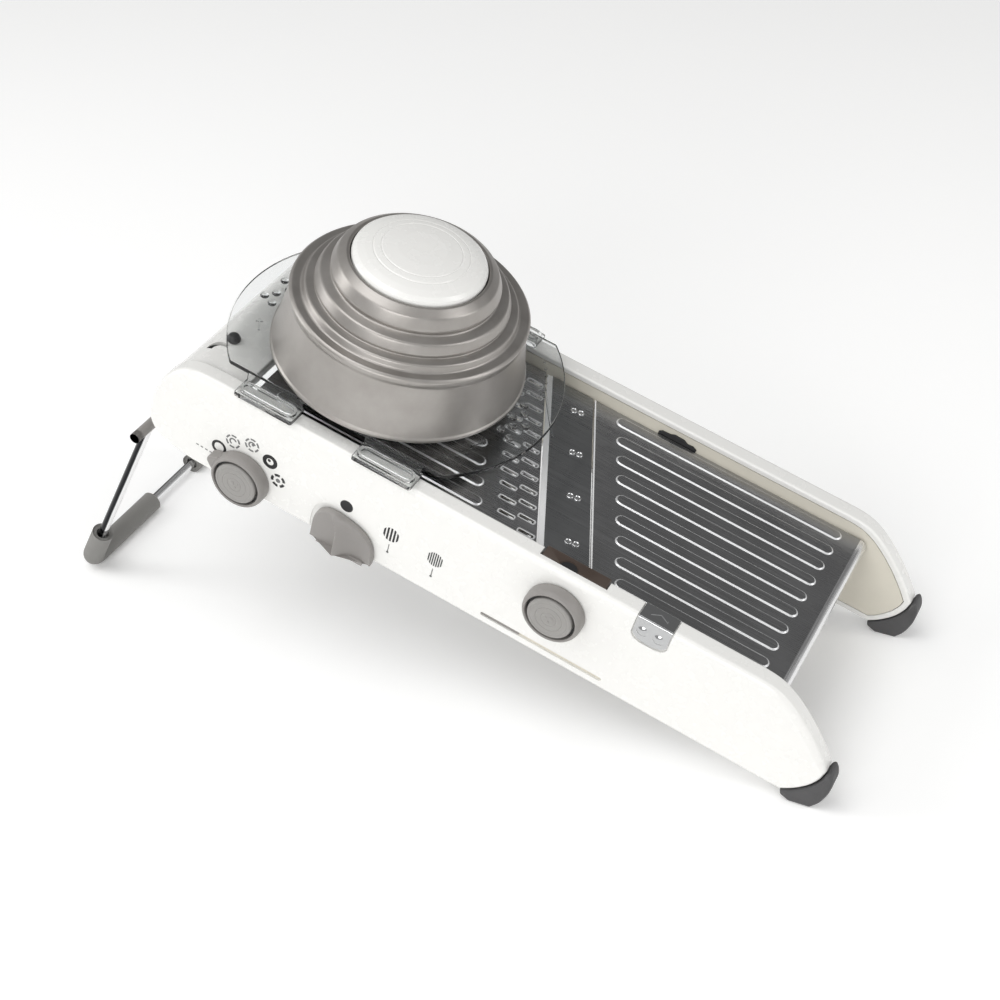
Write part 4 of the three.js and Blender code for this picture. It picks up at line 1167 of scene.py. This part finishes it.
po = plate_outline(86, 61.5)
po = round_poly(po, 1.2, 1)
rings = []
for z, d in ((17.0, 0.55), (17.12, 0.2), (17.45, 0.0), (19.0, 0.0), (19.35, 0.18), (19.5, 0.5)):
    rings.append([(x, y, z) for x, y in (offset(po, d) if d else po)])
v, f = rings_mesh(rings)
guard = make("guard_carriage", v, f, [CLEAR], weighted=False)
cyl = lathe(smooth_profile([(0, 10.0), (55.2, 10.0), (55.5, 10.3), (55.5, 43.6), (55.1, 44), (0, 44)], 0.3, 2), GX, 0, 128)
boolean(guard, [make("cutter", *cyl, [], weighted=False)], "UNION")
for sy in (-1, 1):
    for x0, x1 in ((GX - 50, GX - 17), (GX + 17, GX + 50)):
        # low flange along the wall and the step up to the plate
        lo = [(x0, 59.6), (x1, 59.6), (x1, 72.2), (x0, 72.2)]
        v, f = prism([(x, sy * y) for x, y in round_poly(lo, 1.2, 3)][::sy], 10.25, 13.0, 0.3, 0.3, plane="xy", steps=3)
        boolean(guard, [make("cutter", v, f, [], weighted=False)], "UNION")
        up = [(x0 + 0.4, 59.75), (x1 - 0.4, 59.75), (x1 - 0.4, 61.45), (x0 + 0.4, 61.45)]
        v, f = prism([(x, sy * y) for x, y in round_poly(up, 0.4, 2)][::sy], 10.4, 19.38, 0.2, 0.1, plane="xy", steps=2)
        boolean(guard, [make("cutter", v, f, [], weighted=False)], "UNION")
        # raised elongated loop on the flange
        outer = capsule(x0 + 0.8, x1 - 0.8, 67.0, 4.2, 10)
        inner = capsule(x0 + 2.4, x1 - 2.4, 67.0, 2.6, 10)
        rr = []
        for (d, z) in ((0.0, 12.7), (0.0, 14.2), (0.12, 14.45), (0.4, 14.55)):
            rr.append([(x, sy * y, z) for x, y in (offset(outer, d) if d else outer)])
        for (d, z) in ((-0.4, 14.55), (-0.12, 14.45), (0.0, 14.2), (0.0, 12.7)):
            rr.append([(x, sy * y, z) for x, y in (offset(inner, d) if d else inner)])
        vv, ff = rings_mesh(rr, closed=True)
        boolean(guard, [make("cutter", vv, ff, [], weighted=False)], "UNION")
cyl = lathe([(0, 5), (53.2, 5), (53.2, 50), (0, 50)], GX, 0, 128)
boolean(guard, [make("cutter", *cyl, [], weighted=False)])
shade(guard, 30)
piece(guard, "guard", "clear_plastic", "guard_carriage")
# moulded studs and generic arrows on the plate
stud_spots = [(164.5, -15), (168.0, -9.5), (165.0, -3.5), (168.6, 2.5), (165.6, 8.0), (170.6, -17.5), (173.2, -5.0),
              (26.5, -4.5), (23.0, -10.0), (29.0, -12.5), (30.0, 2.5), (24.5, 6.5)]
parts = []
for x, y in stud_spots:
    parts.append(lathe(smooth_profile([(0, 19.42), (2.3, 19.42), (2.3, 20.0), (1.9, 20.7), (1.0, 21.15), (0, 21.25)], 0.8, 3), x, y, 28))
v, f = join(parts)
studs = make("guard_studs", v, f, CLEAR, angle=50)
piece(studs, "guard", "clear_plastic")
parts = []


def raised(outline2, h=0.35):
    parts.append(prism(outline2, 19.42, 19.5 + h, 0.0, 0.12, plane="xy", steps=2))


def arrow(cx, cy, ang, ln=9.0):
    a = math.radians(ang)
    c, s = math.cos(a), math.sin(a)
    sh = [(-ln / 2, -0.5), (ln / 2 - 2.6, -0.5), (ln / 2 - 2.6, -1.9), (ln / 2, 0), (ln / 2 - 2.6, 1.9), (ln / 2 - 2.6, 0.5), (-ln / 2, 0.5)]
    raised([(cx + u * c - w * s, cy + u * s + w * c) for u, w in sh])


arrow(160.5, -30.5, 62, 9)
arrow(168.0, 21.0, 95, 10)
for k in range(5):
    a = math.radians(-50 + 4.2 * k)
    raised(circle(GX + 74.5 * math.cos(a), 74.5 * math.sin(a), 0.9, 16))
for k in range(6):
    a = math.radians(16 + 4.0 * k)
    raised(circle(GX + 76.0 * math.cos(a), 76.0 * math.sin(a), 0.8, 16))
raised([(161.6, 35.4), (186.6, -2.8), (187.2, -2.0), (162.3, 36.1)], 0.5)
arrow(33.0, -30.0, 120, 9)
v, f = join(parts)
piece(make("guard_arrows", v, f, CLEAR, angle=40), "guard", "clear_plastic")

# ---------------------------------------------------------------- food holder bell
PROF = [(5, 75.8), (33.8, 75.8), (34.1, 79.0), (35.6, 79.0), (39.6, 76.2), (42.3, 70.2), (40.9, 67.6), (46.7, 66.2), (48.8, 61.2),
        (47.9, 59.5), (52.8, 58.9), (54.2, 55.3), (58.6, 55.6), (60.1, 54.3), (59.8, 52.2), (58.9, 49.8),
        (64.2, 22.4), (65.0, 21.6), (65.0, 19.95), (62.4, 19.95), (56.5, 49.8), (56.2, 52.6), (50.4, 53.4),
        (45.2, 57.0), (44.6, 63.6), (38.6, 64.4), (38.0, 71.2), (33.6, 73.2), (5, 73.2)]
PR = [0.3, 0.5, 0.7, 0.9, 3.0, 3.2, 1.6, 2.2, 2.6, 1.3, 1.8, 1.6, 1.6, 1.5, 1.8, 3.0, 0.8, 0.5, 0.3, 0.3, 3, 2, 2, 2, 2, 2, 2, 2, 0.3]
v, f = lathe(round_poly(PROF, PR, 6), GX, 0, 192)
bell = make("holder_bell", v, f, BELL, angle=60, weighted=False)
piece(bell, "holder", "bell_grey", "holder_bell")
CAPP = [(0, 82), (8, 82), (8, 76.15), (33.0, 76.15), (33.35, 76.6), (33.35, 79.3), (32.8, 80.6), (31.0, 82.1), (27.5, 83.4), (24.2, 84.3), (24.0, 84.16), (23.5, 84.3), (23.3, 84.62),
        (20.2, 85.2), (20.0, 85.06), (19.6, 85.14), (19.4, 85.38), (12, 86.1), (5, 86.36), (0, 86.4)]
v, f = lathe(smooth_profile(CAPP, 0.9, 4), GX, 0, 160)
piece(make("holder_cap", v, f, WHITE, angle=50, weighted=False), "holder", "gloss_white", "holder_cap")
# black ring filling the gap between cap and bell: painted shade in the seam
v, f = lathe([(33.42, 75.9), (33.75, 75.9), (33.75, 77.6), (33.42, 77.6)], GX, 0, 128)
piece(make("cap_gap_ring", v, f, BLACK), "holder", "black_plastic")

# plunger: clear disc with prongs
prong = smooth_profile([(0, 15.2), (1.6, 15.2), (1.55, 11.0), (0.5, 8.7), (0, 8.6)], 0.5, 2)
prof = [(6.3, 15.0), (48.4, 15.0), (49.0, 15.5), (49.0, 17.1), (48.4, 17.6), (30, 17.6), (29.6, 17.3), (29.0, 17.3), (28.6, 17.6), (10, 17.6), (9, 35.9), (3.9, 35.9), (3.9, 31.1), (6.3, 31.1)]
disc = make("food_plunger_disc", *lathe(smooth_profile(prof, 0.4, 2), GX, 0, 112), CLEAR, angle=40)
piece(disc, "plunger", "clear_plastic")
parts = []
for n_, r_ in ((8, 40), (6, 24)):
    for k in range(n_):
        a = 2 * math.pi * k / n_
        parts.append(lathe(prong, GX + r_ * math.cos(a), r_ * math.sin(a), 20))
v, f = join(parts)
piece(make("food_plunger_prongs", v, f, CLEAR, angle=50), "plunger", "clear_plastic")

# ---------------------------------------------------------------- printed marks (generic) on the near wall
def flat_mark(loops, y0=-70.57, y1=-70.42):
    return [prism(l, y0, y1, 0.0, 0.0) for l in loops]


def ring_mark(cx, cz, r0, r1, a0=0, a1=360, n=28, y0=-70.57, y1=-70.42):
    if a1 - a0 >= 360:
        pr = [(r0, y0), (r1, y0), (r1, y1), (r0, y1)]
        return lathe(pr, cx, cz, n, "y")
    pts_ = []
    k = max(3, int(n * (a1 - a0) / 360))
    for i in range(k + 1):
        a = math.radians(a0 + (a1 - a0) * i / k)
        pts_.append((cx + r1 * math.cos(a), cz + r1 * math.sin(a)))
    for i in range(k, -1, -1):
        a = math.radians(a0 + (a1 - a0) * i / k)
        pts_.append((cx + r0 * math.cos(a), cz + r0 * math.sin(a)))
    return prism(pts_, y0, y1)


def disc_mark(cx, cz, r, n=28):
    return prism(circle(cx, cz, r, n), -70.57, -70.42)


black, greym = [], []
black.append(ring_mark(42.7, -29.8, 2.8, 4.3))
for (cx, cz) in ((50.0, -21.1), (60.7, -16.8)):
    for a in range(0, 360, 60):
        greym.append(ring_mark(cx, cz, 3.2, 4.2, a + 6, a + 50))
    greym.append(ring_mark(cx, cz, 1.3, 2.2, 20, 250))
greym.append(disc_mark(61.2, -16.4, 0.8, 16))
black.append(ring_mark(71.9, -21.0, 2.1, 4.3))
black.append(disc_mark(71.4, -20.4, 0.9, 16))
for a in range(0, 360, 72):
    black.append(ring_mark(78.0, -30.5, 2.7, 4.2, a + 8, a + 58))
greym.append(disc_mark(78.0, -30.5, 1.3, 18))
for k in range(4):
    x0 = 29.6 + 2.7 * k
    greym.append(prism([(x0, -36.2 - 0.12 * k), (x0 + 1.5, -36.3 - 0.12 * k), (x0 + 1.5, -35.6 - 0.12 * k), (x0, -35.5 - 0.12 * k)], -70.57, -70.42))
black.append(disc_mark(116.9, -22.2, 3.6, 36))


def stripes(cx, cz, r, pitch, duty):
    k = -int(r / pitch) - 1
    while k * pitch < r:
        x0, x1 = k * pitch - pitch * duty / 2, k * pitch + pitch * duty / 2
        x0, x1 = max(x0, -r + 0.05), min(x1, r - 0.05)
        if x1 > x0 + 0.05:
            n_ = 5
            top_ = [(cx + x0 + (x1 - x0) * i / n_, cz + math.sqrt(max(0.01, r * r - (x0 + (x1 - x0) * i / n_) ** 2))) for i in range(n_ + 1)]
            bot_ = [(px, 2 * cz - pz) for px, pz in top_[::-1]]
            black.append(prism(top_ + bot_, -70.57, -70.42))
        k += 1


stripes(143.0, -24.7, 4.5, 1.85, 0.56)
stripes(168.1, -25.0, 4.5, 1.2, 0.54)
for cx in (143.2, 168.2):
    greym.append(prism([(cx - 0.25, -37.0), (cx + 0.25, -37.0), (cx + 0.25, -31.5), (cx - 0.25, -31.5)], -70.57, -70.42))
    greym.append(disc_mark(cx, -37.1, 0.7, 14))
v, f = join(black)
piece(make("wall_marks_black", v, f, INK, angle=40, weighted=False), "frame", "black_plastic")
v, f = join(greym)
piece(make("wall_marks_grey", v, f, INK2, angle=40, weighted=False), "frame", "black_plastic")
# scale strip seen through the index slot
v, f = prism(round_poly([(196.5, -44.8), (267, -44.8), (267, -41.0), (196.5, -41.0)], 0.5, 2), -69.3, -67.5, 0.2, 0.2, steps=2)
piece(make("index_strip", v, f, CREAM_AND_SHADE), "frame", "warm_white")
v, f = prism(round_poly([(197.6, -44.0), (219.5, -44.0), (219.5, -41.8), (197.6, -41.8)], 0.3, 2), -69.75, -69.25, 0.1, 0.1, steps=2)
piece(make("index_pointer", v, f, GREY), "frame", "warm_grey")
# fine parting line of the service panel on the rear of the near crown: not drawn, the loop below does nothing
parts = []
for (xa, ya, xb, yb) in ((25.5, -69.0, 44.0, -69.0), (44.0, -69.0, 44.0, -58.0), (25.5, -69.0, 25.5, -58.0)):
    pass

# ---------------------------------------------------------------- carried-over CAD nodes: finishes only
LOOKS = {
    "inner_liner_near": CREAM_AND_SHADE, "inner_liner_far": CREAM_AND_SHADE, "blade_bed": GREY, "front_tie_rod": ZINC, "deck_pivot_rod": ZINC, "ramp_pivot_rod": ZINC,
    "bed_screw_near": ZINC, "bed_screw_far": ZINC, "bridge_screw_near": ZINC, "bridge_screw_far": ZINC, "ramp_frame": BLACK,
    "julienne_comb_fine": BRIGHT, "julienne_comb_coarse": BRIGHT, "thickness_shaft": ZINC, "thickness_cam_near": BLACK, "thickness_cam_far": BLACK,
    "lock_shaft": ZINC, "selector_slider": BLACK, "guide_post": ZINC, "post_screw": ZINC, "plunger_spring": ZINC, "food_plunger": CLEAR,
}
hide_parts("food_plunger")
for n, mt in LOOKS.items():
    o = NODES[n]
    o.data.materials.clear()
    o.data.materials.append(mt)

# ---------------------------------------------------------------- floor, light
fm = bpy.data.materials.new("studio_floor")
nt, b = nodes_of(fm)
tc = nt.nodes.new("ShaderNodeTexCoord")
nt.links.new(mixed(nt, ramp_map(nt, noise(nt, tc.outputs["Object"], 1.3, 3.0), 0, 1), (0.945, 0.945, 0.94), (0.965, 0.965, 0.96)), b.inputs["Base Color"])
b.inputs["Emission Color"].default_value = (1.0, 1.0, 0.995, 1.0)
b.inputs["Emission Strength"].default_value = 0.14
b.inputs["Roughness"].default_value = 0.85
b.inputs["Specular IOR Level"].default_value = 0.1
me = bpy.data.meshes.new("floor")
N = 24
S = 9.0
vv = [(-S + 2 * S * i / N, -S + 2 * S * j / N, 0.0) for j in range(N + 1) for i in range(N + 1)]
ff = [(j * (N + 1) + i, j * (N + 1) + i + 1, (j + 1) * (N + 1) + i + 1, (j + 1) * (N + 1) + i) for j in range(N) for i in range(N)]
me.from_pydata(vv, [], ff)
me.materials.append(fm)
floor = bpy.data.objects.new("floor", me)
SCENE.collection.objects.link(floor)


def area(name, loc, target, size, power, size_y=None, color=(1, 1, 1)):
    l = bpy.data.lights.new(name, "AREA")
    l.shape = "RECTANGLE"
    l.size = size
    l.size_y = size_y or size
    l.energy = power
    l.color = color
    o = bpy.data.objects.new(name, l)
    SCENE.collection.objects.link(o)
    d = Vector(target) - Vector(loc)
    o.matrix_world = Matrix.Translation(Vector(loc)) @ d.to_track_quat("-Z", "Y").to_matrix().to_4x4()
    return o


area("key_top", (-0.2, -0.5, 1.9), (0, 0, 0.1), 1.3, 13)
area("left_strip", (-1.5, -0.5, 0.9), (0, 0, 0.12), 0.5, 7, 1.2)
area("right_strip", (1.5, 0.3, 0.8), (0.05, 0, 0.08), 0.4, 5, 1.2)
area("front_fill", (0.4, -1.8, 0.9), (0, 0, 0.1), 1.4, 12, 0.7)

world = bpy.data.worlds.new("studio")
SCENE.world = world
world.use_nodes = True
wt = world.node_tree
for n in list(wt.nodes):
    wt.nodes.remove(n)
wo = wt.nodes.new("ShaderNodeOutputWorld")
bg = wt.nodes.new("ShaderNodeBackground")
wt.links.new(bg.outputs[0], wo.inputs[0])
tc = wt.nodes.new("ShaderNodeTexCoord")
dt = wt.nodes.new("ShaderNodeVectorMath")
dt.operation = "DOT_PRODUCT"
wt.links.new(tc.outputs["Generated"], dt.inputs[0])
dd = Vector((0.06, 0.70, 0.72)).normalized()
dt.inputs[1].default_value = dd
mr = wt.nodes.new("ShaderNodeMapRange")
mr.interpolation_type = "SMOOTHSTEP"
mr.inputs["From Min"].default_value = 0.55
mr.inputs["From Max"].default_value = 0.93
mr.inputs["To Min"].default_value = 0.50
mr.inputs["To Max"].default_value = 0.20
wt.links.new(dt.outputs["Value"], mr.inputs["Value"])
cb = wt.nodes.new("ShaderNodeCombineColor")
for i in range(3):
    wt.links.new(mr.outputs[0], cb.inputs[i])
wt.links.new(cb.outputs[0], bg.inputs[0])
bg.inputs[1].default_value = 1.0

SCENE.view_settings.view_transform = "Standard"
SCENE.view_settings.look = "None"
SCENE.view_settings.exposure = 0.0

bpy.context.view_layer.update()
